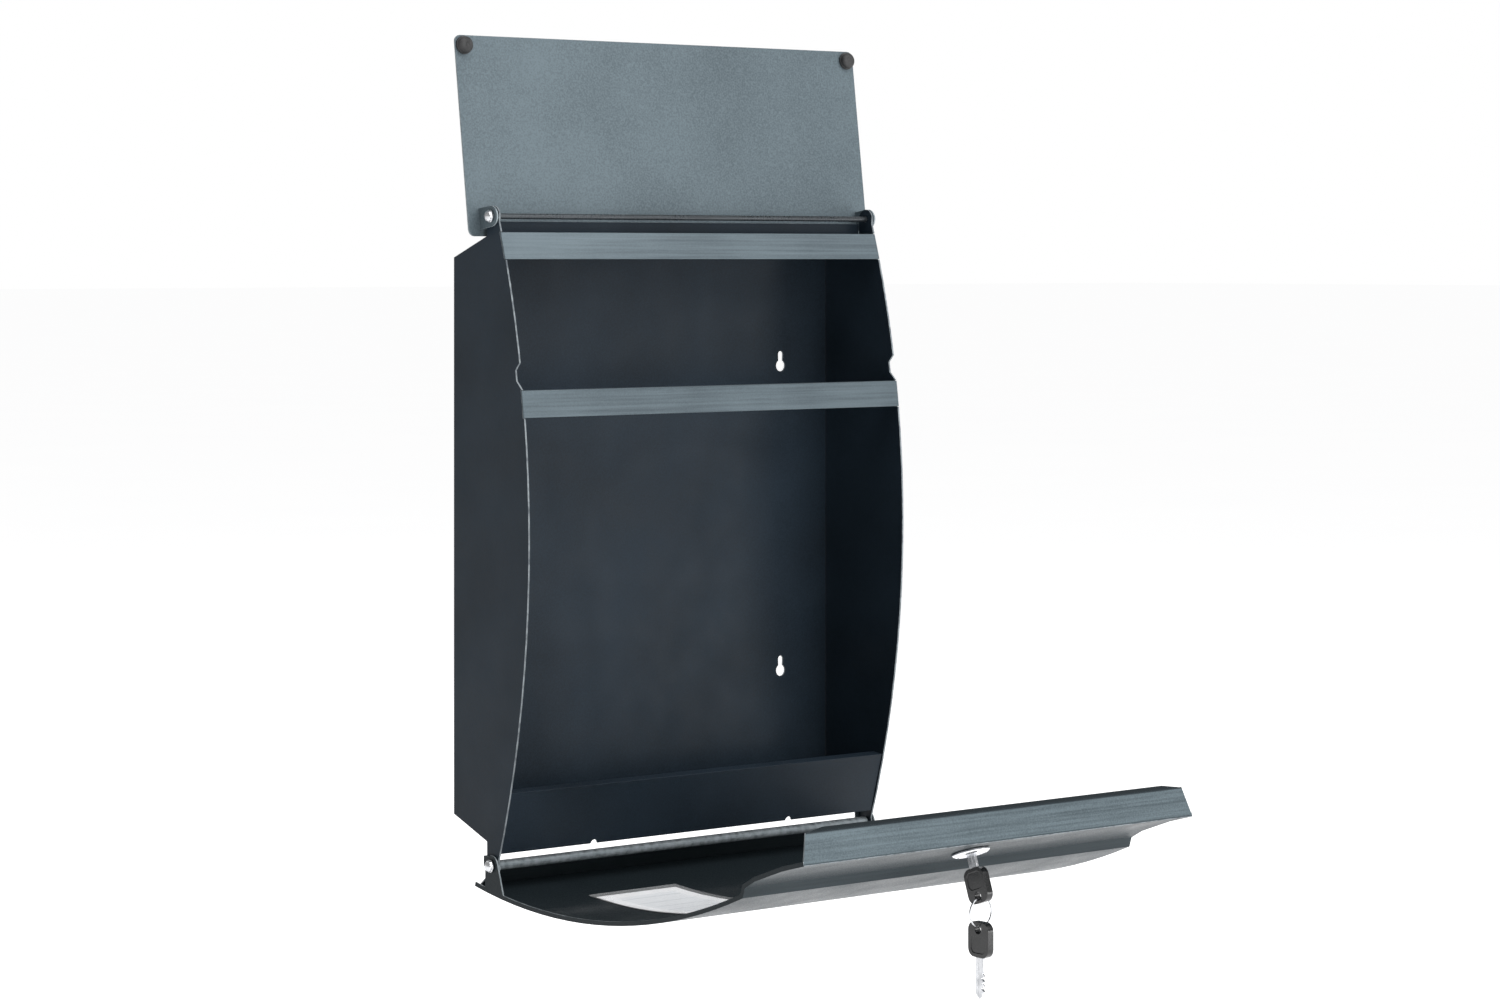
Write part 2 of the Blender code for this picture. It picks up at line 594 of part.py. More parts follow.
def build_card(pivot, paper, clear):
    """Blank name card under a clear sleeve on the door's inner face."""
    left = CARD_INSET - DOOR_HALF
    right = left + CARD_WIDTH
    foot, head = CARD_FOOT, CARD_FOOT + CARD_LENGTH
    card = curved_slip(left, right, foot, head, GAP, CARD_THICKNESS)
    place(card, "name_card", paper, pivot)
    depth = GAP + CARD_THICKNESS + GAP
    sleeve = curved_slip(left - SLEEVE_MARGIN, right + SLEEVE_MARGIN, foot - SLEEVE_MARGIN, head,
                         depth, SLEEVE_THICKNESS)
    place(sleeve, "card_sleeve", clear, pivot)


# ---- lock and keys -----------------------------------------------------------------------

def hexagon(radius):
    """(x, y) corners of a hexagon."""
    return [(radius * math.cos(math.pi * turn / 3), radius * math.sin(math.pi * turn / 3)) for turn in range(6)]


def build_lock_barrel(pivot, chrome, steel):
    """Flanged barrel through the lock band, and the nut that clamps it from inside."""
    bore = PLUG_RADIUS + PLUG_CLEARANCE
    seat = GAP
    profile = [(bore, -LOCK_LENGTH), (LOCK_RADIUS, -LOCK_LENGTH), (LOCK_RADIUS, seat),
               (LOCK_FLANGE_RADIUS, seat), (LOCK_FLANGE_RADIUS, seat + LOCK_FLANGE * 0.5),
               (LOCK_FLANGE_RADIUS - LOCK_BEVEL, seat + LOCK_FLANGE), (bore, seat + LOCK_FLANGE), (bore, -LOCK_LENGTH)]
    place(tube(profile), "lock_barrel", chrome, pivot)
    nut_face = -DOOR_SHEET - GAP
    nut = place(upright(hexagon(NUT_ACROSS), nut_face - NUT_LENGTH, nut_face), "lock_nut", steel, pivot)
    inner = LOCK_RADIUS + GAP
    cut(nut, turned([(inner, -LOCK_LENGTH), (inner, 0)]))


def tube(profile, steps=ROUND_STEPS):
    """A ring of revolution about +Z from a closed loop of (radius, z) points."""
    mesh = bmesh.new()
    rings = []
    for radius, z in profile[:-1]:
        turns = [2 * math.pi * step / steps for step in range(steps)]
        rings.append([mesh.verts.new((radius * math.cos(a), radius * math.sin(a), z)) for a in turns])
    for below, above in zip(rings, rings[1:] + rings[:1]):
        for step in range(steps):
            after = (step + 1) % steps
            mesh.faces.new((below[step], below[after], above[after], above[step]))
    return mesh


def build_lock_core(pivot, chrome, steel):
    """Turning plug with its keyway, the cam on its tail and the cam's screw."""
    tail = -LOCK_LENGTH - GAP
    plug = place(turned([(PLUG_RADIUS, tail), (PLUG_RADIUS, PLUG_FACE)]), "lock_plug", chrome, pivot)
    slot_x = KEY_THICKNESS / 2 + GAP
    slot_y = KEY_BLADE_WIDTH / 2 + GAP
    depth = PLUG_FACE - (KEY_BLADE_LENGTH - KEY_SHANK) - GAP
    keyway = [(-slot_x, -slot_y), (slot_x, -slot_y), (slot_x, slot_y), (-slot_x, slot_y)]
    cut(plug, upright(keyway, depth, PLUG_FACE + BEYOND))
    cam_top = tail - GAP
    shoulder = CAM_WIDTH / 2
    nose = CAM_LENGTH - shoulder
    outline = ([(shoulder * math.cos(a), shoulder * math.sin(a)) for a in
                [math.pi / 2 + math.pi * step / 8 for step in range(9)]]
               + [(nose, -shoulder), (CAM_LENGTH, -shoulder * 0.6), (CAM_LENGTH, shoulder * 0.6), (nose, shoulder)])
    place(upright(outline, cam_top - CAM_THICKNESS, cam_top), "lock_cam", steel, pivot)
    head_top = cam_top - CAM_THICKNESS - GAP
    screw = [(CAM_SCREW_RADIUS * 0.7, head_top - CAM_SCREW_HEAD),
             (CAM_SCREW_RADIUS, head_top - CAM_SCREW_HEAD * 0.64), (CAM_SCREW_RADIUS, head_top)]
    place(turned(screw, 16), "cam_screw", steel, pivot)


def key_blade_outline(shoulder_to_tip):
    """(y, z) outline of a key blade, from inside the head down to the bitted tip."""
    half = KEY_BLADE_WIDTH / 2
    bites = 5
    pitch = shoulder_to_tip * 0.12
    outline = [(half, 0), (half, -shoulder_to_tip + half), (half * 0.3, -shoulder_to_tip)]
    outline.append((-half * 0.6, -shoulder_to_tip + half * 0.6))
    for bite in range(bites):
        z = -shoulder_to_tip + half + bite * pitch
        outline += [(-half * (0.35 if bite % 2 else 0.6), z), (-half, z + pitch / 2)]
    outline.append((-half, 0))
    return outline


def head_outline():
    """(y, z) outline of a key's moulded head, with the blade below it."""
    half, corner = KEY_HEAD_WIDTH / 2, KEY_HEAD_WIDTH * 0.3
    top = KEY_HEAD_LENGTH
    outline = arc((half - corner, corner), corner, 270, 360, 4)
    outline += arc((half - corner, top - corner), corner, 0, 90, 4)
    outline += arc((-half + corner, top - corner), corner, 90, 180, 4)
    outline += arc((-half + corner, corner), corner, 180, 270, 4)
    return outline


def build_key(prefix, frame, blade_length, pivot, steel, plastic):
    """A key in the YZ plane of frame: blade towards -Z, head towards +Z, ring hole at the top."""
    blade = prism(key_blade_outline(blade_length), -KEY_THICKNESS / 2, KEY_THICKNESS / 2)
    head = prism(head_outline(), -KEY_HEAD_THICKNESS / 2, KEY_HEAD_THICKNESS / 2)
    bmesh.ops.translate(head, vec=(0, 0, GAP), verts=head.verts)
    hole = turned([(KEY_HOLE_RADIUS, 0), (KEY_HOLE_RADIUS, 2 * KEY_HEAD_THICKNESS)], 16)
    along_x(hole, Vector((-KEY_HEAD_THICKNESS, 0, KEY_HEAD_LENGTH + GAP - KEY_HOLE_INSET)))
    for mesh in (blade, head, hole):
        bmesh.ops.transform(mesh, matrix=frame, verts=mesh.verts)
    place(blade, f"{prefix}_blade", steel, pivot)
    cut(place(head, f"{prefix}_head", plastic, pivot), hole)


def hole_point(frame):
    """Centre of the ring hole of a key placed by frame."""
    return frame @ Vector((0, 0, KEY_HEAD_LENGTH + GAP - KEY_HOLE_INSET))


def build_ring(pivot, centre, steel):
    """Split ring: a wire circle in the XZ plane of the hanging keys."""
    bpy.ops.mesh.primitive_torus_add(major_radius=RING_RADIUS, minor_radius=RING_WIRE,
                                     major_segments=28, minor_segments=8,
                                     location=centre, rotation=(math.pi / 2, 0, 0))
    ring = bpy.context.object
    ring.name = "key_ring"
    ring.parent = pivot
    ring.data.materials.append(steel)
    ring.data.shade_smooth()


def empty(name, frame, parent=None):
    """An unseen pivot that carries the pieces turning about one axis."""
    pivot = bpy.data.objects.new(name, None)
    bpy.context.scene.collection.objects.link(pivot)
    pivot.parent = parent
    pivot.matrix_local = frame
    return pivot


def build_keys(lock, world_of_lock, finishes):
    """Key in the plug, and a ring and spare key hanging straight down from its head."""
    in_lock = Matrix.Translation((0, 0, PLUG_FACE + KEY_SHANK))
    build_key("key", in_lock, KEY_BLADE_LENGTH, lock, finishes["steel"], finishes["plastic"])
    hole = hole_point(in_lock)
    hang = world_of_lock.to_3x3().inverted().to_4x4()
    swing = empty("ring_pivot", Matrix.Translation(hole) @ hang, lock)
    curve = RING_RADIUS - math.sqrt(RING_RADIUS ** 2 - (KEY_HEAD_THICKNESS / 2) ** 2)
    slack = KEY_HOLE_RADIUS - RING_WIRE - GAP - curve
    ring_centre = Vector((0, 0, -RING_RADIUS - slack))
    build_ring(swing, ring_centre, finishes["steel"])
    spare_swing = empty("spare_pivot", Matrix.Translation(ring_centre * 2), swing)
    spare = Matrix.Translation((0, 0, KEY_HOLE_INSET - KEY_HEAD_LENGTH - GAP))
    build_key("spare_key", spare, KEY_BLADE_LENGTH, spare_swing, finishes["steel"], finishes["plastic"])


def main():
    """Clear the scene and build the mailbox."""
    for old in list(bpy.data.objects):
        bpy.data.objects.remove(old, do_unlink=True)
    anthracite = make_material("anthracite_powder_coat", (0.045, 0.055, 0.06), 0.5, 0.2)
    face_grey = make_material("lit_powder_coat", (0.16, 0.19, 0.2), 0.45, 0.3)
    finishes = {
        "steel": make_material("zinc_steel", (0.62, 0.63, 0.64), 0.3, 1.0),
        "chrome": make_material("lock_chrome", (0.85, 0.85, 0.86), 0.15, 1.0),
        "rubber": make_material("black_rubber", (0.02, 0.02, 0.02), 0.7, 0.0),
        "plastic": make_material("black_key_plastic", (0.02, 0.02, 0.022), 0.35, 0.0),
        "paper": make_material("white_card", (0.9, 0.9, 0.9), 0.8, 0.0),
        "clear": make_material("clear_sleeve", (0.9, 0.93, 0.95), 0.1, 0.0),
    }
    build_side("side_panel_left", -1, anthracite)
    build_side("side_panel_right", 1, anthracite)
    build_back(anthracite)
    build_roof(anthracite)
    build_floor(anthracite)
    build_bar("upper_bar", UPPER_BAR_Z, -EAR_SETBACK - GAP - bow_y(UPPER_BAR_Z + BAR_HEIGHT) - SHEET / 2, face_grey)
    build_bar("middle_bar", MIDDLE_BAR_Z, BAR_LIP, face_grey)
    build_apron(anthracite)
    lid_rod_reach = HALF_WIDTH + LUG_CLEARANCE + LUG_SHEET + GAP
    build_rod("lid_rod", LID_HINGE, lid_rod_reach, anthracite, finishes["steel"])
    build_rod("door_rod", DOOR_HINGE, DOOR_HALF + GAP, anthracite, finishes["steel"])

    lid_turn = Matrix.Rotation(math.radians(-LID_LEAN), 4, "X")
    build_lid(empty("lid_pivot", Matrix.Translation(LID_HINGE) @ lid_turn), face_grey, finishes["rubber"])

    door_world = Matrix.Translation(DOOR_HINGE) @ Matrix.Rotation(math.radians(DOOR_OPEN), 4, "X")
    door = empty("door_pivot", door_world)
    build_door_panel(door, anthracite)
    build_card(door, finishes["paper"], finishes["clear"])
    lock = empty("lock_pivot", lock_frame(), door)
    build_lock_barrel(lock, finishes["chrome"], finishes["steel"])
    build_lock_core(lock, finishes["chrome"], finishes["steel"])
    build_keys(lock, door_world @ lock_frame(), finishes)


main()
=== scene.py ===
"""Looks of a wall mounted mailbox: coated sheet steel, rods, lock, keys, name card and studio."""

import json
import logging
import math
from dataclasses import dataclass, field, replace
from enum import Enum

import bmesh
import bpy
from mathutils import Matrix, Vector


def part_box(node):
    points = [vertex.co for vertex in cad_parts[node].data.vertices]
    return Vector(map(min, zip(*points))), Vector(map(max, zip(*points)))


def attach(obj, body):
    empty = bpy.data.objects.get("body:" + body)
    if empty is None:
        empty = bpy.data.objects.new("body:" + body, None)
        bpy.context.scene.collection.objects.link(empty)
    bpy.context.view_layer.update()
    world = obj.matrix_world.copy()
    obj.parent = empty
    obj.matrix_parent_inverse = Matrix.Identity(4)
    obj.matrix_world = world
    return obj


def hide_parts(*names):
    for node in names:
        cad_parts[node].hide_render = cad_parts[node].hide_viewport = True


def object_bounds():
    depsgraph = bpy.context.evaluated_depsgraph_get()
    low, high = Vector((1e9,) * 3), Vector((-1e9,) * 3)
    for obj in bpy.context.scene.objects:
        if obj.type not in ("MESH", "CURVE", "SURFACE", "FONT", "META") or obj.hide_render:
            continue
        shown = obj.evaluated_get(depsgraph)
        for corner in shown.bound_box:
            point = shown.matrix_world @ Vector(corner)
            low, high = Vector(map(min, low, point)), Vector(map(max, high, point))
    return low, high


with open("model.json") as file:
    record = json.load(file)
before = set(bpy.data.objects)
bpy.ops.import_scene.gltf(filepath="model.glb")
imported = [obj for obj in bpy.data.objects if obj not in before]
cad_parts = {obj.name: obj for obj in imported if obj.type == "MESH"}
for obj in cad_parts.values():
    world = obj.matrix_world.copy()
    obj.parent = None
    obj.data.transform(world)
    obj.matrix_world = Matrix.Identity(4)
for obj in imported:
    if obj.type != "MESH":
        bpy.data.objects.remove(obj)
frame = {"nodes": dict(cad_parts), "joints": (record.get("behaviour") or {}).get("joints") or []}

CAD_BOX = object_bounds()
MM = 0.001
LOG = logging.getLogger("mailbox")
CREASE = 32.0       # degrees; a sharper edge stays creased, and gets rounded
FLOWING = 50.0      # degrees; the same once an edge is rounded
Colour = tuple[float, float, float]
Point2 = tuple[float, float]


class Body(Enum):
    """The bodies that pieces ride on."""

    CASE = "body"
    LID = "lid"
    DOOR = "door"
    LOCK_CORE = "lock_core"
    RING = "ring"
    SPARE_KEY = "spare_key"


class Streak(Enum):
    """Which way a coat's fine marks run."""

    NONE = (1.0, 1.0, 1.0)
    ALONG_X = (0.02, 1.0, 1.0)
    ALONG_Z = (1.0, 1.0, 0.03)


class Slot(Enum):
    """Material slots of the record."""

    CASE_COAT = "body_coat"
    BAR_COAT = "bar_coat"
    LID_COAT = "lid_coat"
    DOOR_COAT = "door_coat"
    ROD_COAT = "rod_coat"
    ZINC = "zinc_steel"
    CHROME = "lock_chrome"
    RUBBER = "black_rubber"
    KEY_PLASTIC = "key_plastic"
    CARD = "card_paper"
    SLEEVE = "clear_sleeve"


# ---- finishes ----------------------------------------------------------------------------

class ShaderBoard:
    """One material's node tree, with short calls that add nodes and join them."""

    def __init__(self, name: str) -> None:
        """Start a material whose nodes read the piece's own coordinates.

        Args:
            name: The material's name.
        """
        self.material = bpy.data.materials.new(name)
        self.material.use_nodes = True
        self.tree = self.material.node_tree
        self.shader = self.tree.nodes["Principled BSDF"]
        self.place = self.add("ShaderNodeTexCoord").outputs["Object"]

    def add(self, kind: str, **settings: object) -> bpy.types.Node:
        """Add a node.

        Args:
            kind: Blender's name of the node type.
            settings: Properties to set on the node.

        Returns:
            The new node.
        """
        node = self.tree.nodes.new(kind)
        for key, value in settings.items():
            setattr(node, key, value)
        return node

    def join(self, source: bpy.types.NodeSocket, target: bpy.types.NodeSocket) -> None:
        """Link one socket to another."""
        self.tree.links.new(source, target)

    def noise(self, size: float, detail: float = 3.0, streak: Streak = Streak.NONE) -> bpy.types.NodeSocket:
        """Add a noise of a real size.

        Args:
            size: Rough distance between its blotches, in metres.
            detail: Number of finer octaves.
            streak: Direction in which the noise is drawn out.

        Returns:
            The noise value, 0 to 1.
        """
        mapping = self.add("ShaderNodeMapping")
        mapping.inputs["Scale"].default_value = streak.value
        self.join(self.place, mapping.inputs["Vector"])
        noise = self.add("ShaderNodeTexNoise")
        noise.inputs["Scale"].default_value = 1 / size
        noise.inputs["Detail"].default_value = detail
        self.join(mapping.outputs["Vector"], noise.inputs["Vector"])
        return noise.outputs["Fac"]

    def spread(self, source: bpy.types.NodeSocket, low: float, high: float,
               start: float = 0.3, end: float = 0.7) -> bpy.types.NodeSocket:
        """Map a value from start..end on to low..high.

        Args:
            source: The value to map.
            low: Result at start.
            high: Result at end.
            start: Source value that gives low.
            end: Source value that gives high.

        Returns:
            The mapped value, held between low and high.
        """
        node = self.add("ShaderNodeMapRange")
        for name, value in (("From Min", start), ("From Max", end), ("To Min", low), ("To Max", high)):
            node.inputs[name].default_value = value
        self.join(source, node.inputs["Value"])
        return node.outputs["Result"]

    def tint(self, factor: bpy.types.NodeSocket, first: "Colour | bpy.types.NodeSocket",
             second: "Colour | bpy.types.NodeSocket") -> bpy.types.NodeSocket:
        """Mix two colours.

        Args:
            factor: 0 gives the first colour, 1 the second.
            first: A colour or a colour socket.
            second: A colour or a colour socket.

        Returns:
            The mixed colour.
        """
        node = self.add("ShaderNodeMix", data_type="RGBA")
        self.join(factor, node.inputs["Factor"])
        for socket, value in ((node.inputs[6], first), (node.inputs[7], second)):
            if isinstance(value, tuple):
                socket.default_value = (*value, 1)
            else:
                self.join(value, socket)
        return node.outputs[2]

    def maths(self, operation: str, first: bpy.types.NodeSocket,
              second: "float | bpy.types.NodeSocket") -> bpy.types.NodeSocket:
        """Add a Math node.

        Args:
            operation: Blender's name of the operation.
            first: The first value.
            second: The second value, a number or a socket.

        Returns:
            The result.
        """
        node = self.add("ShaderNodeMath", operation=operation)
        self.join(first, node.inputs[0])
        if isinstance(second, (int, float)):
            node.inputs[1].default_value = second
        else:
            self.join(second, node.inputs[1])
        return node.outputs[0]

    def mark(self, name: str) -> bpy.types.NodeSocket:
        """Read a number that a mesh carries.

        Args:
            name: The mesh attribute's name.

        Returns:
            The attribute's value.
        """
        return self.add("ShaderNodeAttribute", attribute_name=name).outputs["Fac"]

    def near_line(self, point: tuple[float, float, float], width: float) -> bpy.types.NodeSocket:
        """Measure how near the surface is to a line along X.

        Args:
            point: A point on the line.
            width: Distance at which the value has faded out.

        Returns:
            1 on the line, 0 from width onwards.
        """
        offset = self.add("ShaderNodeVectorMath", operation="SUBTRACT")
        offset.inputs[1].default_value = point
        self.join(self.place, offset.inputs[0])
        across = self.add("ShaderNodeVectorMath", operation="MULTIPLY")
        across.inputs[1].default_value = (0, 1, 1)
        self.join(offset.outputs["Vector"], across.inputs[0])
        length = self.add("ShaderNodeVectorMath", operation="LENGTH")
        self.join(across.outputs["Vector"], length.inputs[0])
        return self.spread(length.outputs["Value"], 1.0, 0.0, width * 0.4, width)

    def relief(self, height: bpy.types.NodeSocket, depth: float) -> None:
        """Raise the surface by a height between 0 and depth metres.

        Args:
            height: The height, 0 to 1.
            depth: The relief's depth, in metres.
        """
        bump = self.add("ShaderNodeBump")
        bump.inputs["Distance"].default_value = depth
        bump.inputs["Strength"].default_value = 1.0
        self.join(height, bump.inputs["Height"])
        self.join(bump.outputs["Normal"], self.shader.inputs["Normal"])

    def colour(self, source: bpy.types.NodeSocket) -> None:
        """Give the shader its colour."""
        self.join(source, self.shader.inputs["Base Color"])

    def roughness(self, source: bpy.types.NodeSocket) -> None:
        """Give the shader its roughness."""
        self.join(source, self.shader.inputs["Roughness"])

    def fix(self, **values: float) -> None:
        """Set numbers that are the same all over on the shader's own sockets.

        Args:
            values: Socket names, with _ for a space, and their numbers.
        """
        for name, value in values.items():
            self.shader.inputs[name.replace("_", " ")].default_value = value


@dataclass(frozen=True)
class PowderCoat:
    """Baked powder coat: fine orange peel, cloudy depth, and a painted highlight as a paler line on cut
    sheet edges.
    """

    name: str
    deep: Colour
    pale: Colour
    # Colour of the painted highlight line on the cut sheet edges.
    edge: Colour
    grain: float = 0.9 * MM
    contrast: float = 0.5
    streak: Streak = Streak.NONE
    rough: tuple[float, float] = (0.4, 0.56)
    metallic: float = 0.1
    gloss: float = 0.3

    def paint_light_and_shade(self, board: ShaderBoard, coat: bpy.types.NodeSocket) -> bpy.types.NodeSocket:
        """Add painted light and shade to the coat; a plain coat gets none."""
        return coat

    def build(self) -> bpy.types.Material:
        """Make the coat's material.

        Returns:
            The material.
        """
        board = ShaderBoard(self.name)
        cloud = board.spread(board.noise(70 * MM, 2.0), 0.0, 0.6, 0.25, 0.75)
        grain = board.noise(self.grain, 2.0)
        fleck = board.spread(grain, 0.0, self.contrast, 0.35, 0.72)
        factor = board.maths("ADD", cloud, fleck)
        if self.streak is not Streak.NONE:
            line = board.spread(board.noise(1.6 * MM, 4.0, self.streak), -0.3, 0.45, 0.3, 0.7)
            factor = board.maths("ADD", factor, line)
        coat = self.paint_light_and_shade(board, board.tint(factor, self.deep, self.pale))
        # Painted highlight: a paler line on the cut sheet edges, where they catch the light, broken up in
        # patches.
        edge_glint_breakup = board.spread(board.noise(4 * MM, 3.0), 0.35, 1.0, 0.3, 0.6)
        rim = board.maths("MULTIPLY", board.mark("rim"), edge_glint_breakup)
        board.colour(board.tint(rim, coat, self.edge))
        smear = board.spread(board.noise(28 * MM, 3.0), -0.05, 0.05)
        peel = board.spread(grain, self.rough[0], self.rough[1])
        board.roughness(board.maths("ADD", peel, smear))
        broad = board.maths("MULTIPLY", board.noise(3.2 * MM, 1.0), 0.6)
        board.relief(board.maths("ADD", broad, board.maths("MULTIPLY", grain, 0.5)), 0.05 * MM)
        board.fix(Metallic=self.metallic, Specular_IOR_Level=self.gloss)
        return board.material


@dataclass(frozen=True)
class DoorCoat(PowderCoat):
    """The door's coat, with painted light and shade: pale on the ledge, darker on the bowed face and dark
    inside the door.
    """

    # Painted shade inside the door, and painted shade lines along the ledge's tight bends.
    inside_shade: Colour = (0.011, 0.016, 0.019)
    bend_shade: Colour = (0.012, 0.018, 0.022)
    bend_shade_width: float = 1.3 * MM
    bends: tuple[tuple[float, float, float], ...] = ()

    def paint_light_and_shade(self, board: ShaderBoard, coat: bpy.types.NodeSocket) -> bpy.types.NodeSocket:
        """Paint shade on the coat where the sheet looks into the door, and paint shade lines along its tight
        bends.

        Args:
            board: The material's node tree.
            coat: The coat's colour where it is painted fully lit.

        Returns:
            The colour with its painted light and shade.
        """
        # Painted shade: the inside of the door goes dark, the bowed face mostly dark, and the ledge keeps
        # the lit coat.
        sides = board.tint(board.mark("painted_lit_share"), self.inside_shade, coat)
        for point in self.bends:
            sides = board.tint(board.near_line(point, self.bend_shade_width), sides, self.bend_shade)
        return sides


@dataclass(frozen=True)
class BrushedZinc:
    """Zinc plate with drawn lines and dull blotches."""

    name: str
    bright: Colour = (0.66, 0.67, 0.69)
    dull: Colour = (0.42, 0.43, 0.45)
    streak: Streak = Streak.ALONG_Z

    def build(self) -> bpy.types.Material:
        """Make the plate's material.

        Returns:
            The material.
        """
        board = ShaderBoard(self.name)
        lines = board.noise(0.35 * MM, 4.0, self.streak)
        blotch = board.spread(board.noise(4 * MM, 3.0), 0.0, 0.7)
        board.colour(board.tint(blotch, self.bright, self.dull))
        dulling = board.maths("MULTIPLY", blotch, 0.14)
        board.roughness(board.maths("ADD", board.spread(lines, 0.16, 0.34), dulling))
        board.relief(lines, 0.02 * MM)
        board.fix(Metallic=1.0)
        return board.material


@dataclass(frozen=True)
class ChromePlate:
    """Bright chrome with hairline scratches and faint handling haze."""

    name: str
    clean: Colour = (0.86, 0.87, 0.89)
    hazed: Colour = (0.68, 0.69, 0.72)

    def build(self) -> bpy.types.Material:
        """Make the chrome's material.

        Returns:
            The material.
        """
        board = ShaderBoard(self.name)
        haze = board.spread(board.noise(5 * MM, 4.0), 0.0, 0.8)
        hair = board.noise(0.3 * MM, 2.0, Streak.ALONG_X)
        board.colour(board.tint(haze, self.clean, self.hazed))
        dulling = board.maths("MULTIPLY", haze, 0.1)
        board.roughness(board.maths("ADD", board.spread(hair, 0.06, 0.16), dulling))
        board.relief(hair, 0.008 * MM)
        board.fix(Metallic=1.0)
        return board.material


@dataclass(frozen=True)
class MouldedBlack:
    """Black rubber or plastic from a spark-eroded mould, greyed by handling."""

    name: str
    base: Colour = (0.004, 0.0045, 0.005)
    rubbed: Colour = (0.014, 0.0145, 0.0155)
    rough: tuple[float, float] = (0.16, 0.3)
    grain: float = 0.5 * MM
    relief_depth: float = 0.04 * MM

    def build(self) -> bpy.types.Material:
        """Make the moulding's material.

        Returns:
            The material.
        """
        board = ShaderBoard(self.name)
        grain = board.noise(self.grain, 3.0)
        rub = board.spread(board.noise(6 * MM, 4.0), 0.0, 0.8)
        board.colour(board.tint(rub, self.base, self.rubbed))
        board.roughness(board.spread(grain, *self.rough))
        board.relief(grain, self.relief_depth)
        return board.material


@dataclass(frozen=True)
class CardStock:
    """White card with a pale printed panel and ruled lines, and visible paper fibre."""

    name: str
    white: Colour = (0.93, 0.93, 0.94)
    panel: Colour = (0.72, 0.75, 0.78)
    rule: Colour = (0.5, 0.54, 0.58)
    margin: float = 0.13
    lines: int = 7

    def build(self) -> bpy.types.Material:
        """Make the card's material.

        Returns:
            The material.
        """
        board = ShaderBoard(self.name)
        across, along = board.mark("card_u"), board.mark("card_v")
        inside = None
        for value, margin in ((across, self.margin), (along, self.margin * 0.6)):
            for start, end in ((margin, margin + 0.01), (1 - margin, 1 - margin - 0.01)):
                side = board.spread(value, 0.0, 1.0, start, end)
                inside = side if inside is None else board.maths("MULTIPLY", inside, side)
        fibre = board.noise(0.8 * MM, 4.0)
        ground = board.tint(board.spread(fibre, 0.0, 0.25), self.white, self.panel)
        printed = board.tint(board.maths("MULTIPLY", inside, 0.5), ground, self.panel)
        wave = board.maths("FRACT", board.maths("MULTIPLY", along, float(self.lines)), 0.0)
        rule = board.maths("MULTIPLY", board.spread(wave, 0.0, 1.0, 0.93, 0.96), inside)
        board.colour(board.tint(rule, printed, self.rule))
        board.roughness(board.spread(fibre, 0.55, 0.75))
        board.relief(fibre, 0.03 * MM)
        return board.material


@dataclass(frozen=True)
class ClearFilm:
    """Thin clear film, glossy, with faint waves and scuffs."""

    name: str
    tone: Colour = (0.95, 0.96, 0.97)
    scuff: Colour = (0.86, 0.88, 0.9)
    cover: float = 0.14

    def build(self) -> bpy.types.Material:
        """Make the film's material.

        Returns:
            The material.
        """
        board = ShaderBoard(self.name)
        wave = board.noise(14 * MM, 2.0)
        scuff = board.spread(board.noise(1.5 * MM, 4.0, Streak.ALONG_X), 0.0, 1.0, 0.5, 0.75)
        board.colour(board.tint(scuff, self.tone, self.scuff))
        board.roughness(board.spread(scuff, 0.05, 0.3, 0.0, 1.0))
        board.relief(wave, 0.35 * MM)
        board.fix(Alpha=self.cover)
        return board.material


@dataclass(frozen=True)
class StudioFloor:
    """Pale matt floor with a hardly visible cloudiness."""

    name: str = "pale_studio_floor"
    pale: Colour = (0.86, 0.86, 0.86)
    cloud: Colour = (0.83, 0.83, 0.84)
    glow: float = 0.62

    def build(self) -> bpy.types.Material:
        """Make the floor's material.

        Returns:
            The material.
        """
        board = ShaderBoard(self.name)
        board.colour(board.tint(board.noise(0.6, 2.0), self.pale, self.cloud))
        board.fix(Roughness=0.9, Specular_IOR_Level=0.0, Emission_Strength=self.glow)
        return board.material


# ---- mesh work ----------------------------------------------------------------------------

def turned(profile: list[Point2], steps: int = 48, lobes: int = 0,
           lobe_depth: float = 0.0) -> bmesh.types.BMesh:
    """Turn a profile about +Z.

    Args:
        profile: Radius and height of each point; a first or last radius of 0 closes that end.
        steps: Number of faces round the axis.
        lobes: Number of waves pressed into the outline.
        lobe_depth: Depth of each wave, as a share of the radius.

    Returns:
        The closed mesh.
    """
    mesh = bmesh.new()
    rings: list[list[bmesh.types.BMVert]] = []
    for radius, height in profile:
        if radius == 0:
            rings.append([mesh.verts.new((0, 0, height))] * steps)
            continue
        ring = []
        for step in range(steps):
            angle = 2 * math.pi * step / steps
            reach = radius * (1 - lobe_depth * max(0.0, math.cos(lobes * angle))) if lobes else radius
            ring.append(mesh.verts.new((reach * math.cos(angle), reach * math.sin(angle), height)))
        rings.append(ring)
    looped = profile[0][0] > 0 and profile[-1][0] > 0
    above_each = rings[1:] + rings[:1] if looped else rings[1:]
    for below, above in zip(rings, above_each):
        for step in range(steps):
            after = (step + 1) % steps
            corners = list(dict.fromkeys((below[step], below[after], above[after], above[step])))
            if len(corners) > 2:
                mesh.faces.new(corners)
    bmesh.ops.recalc_face_normals(mesh, faces=mesh.faces)
    return mesh


def arc_profile(reach: float, foot: float, top: float, angles: tuple[int, ...],
                core: float = 0.0) -> list[Point2]:
    """Points up a quarter ellipse, for the profile of a dome.

    Args:
        reach: Half width of the ellipse.
        foot: Height at which it starts.
        top: Height that it would end at.
        angles: Degrees up the ellipse at which it has points.
        core: How far from the axis the ellipse is centred.

    Returns:
        The points, from the foot up.
    """
    turns = [math.radians(angle) for angle in angles]
    return [(core + reach * math.cos(turn), foot + (top - foot) * math.sin(turn)) for turn in turns]


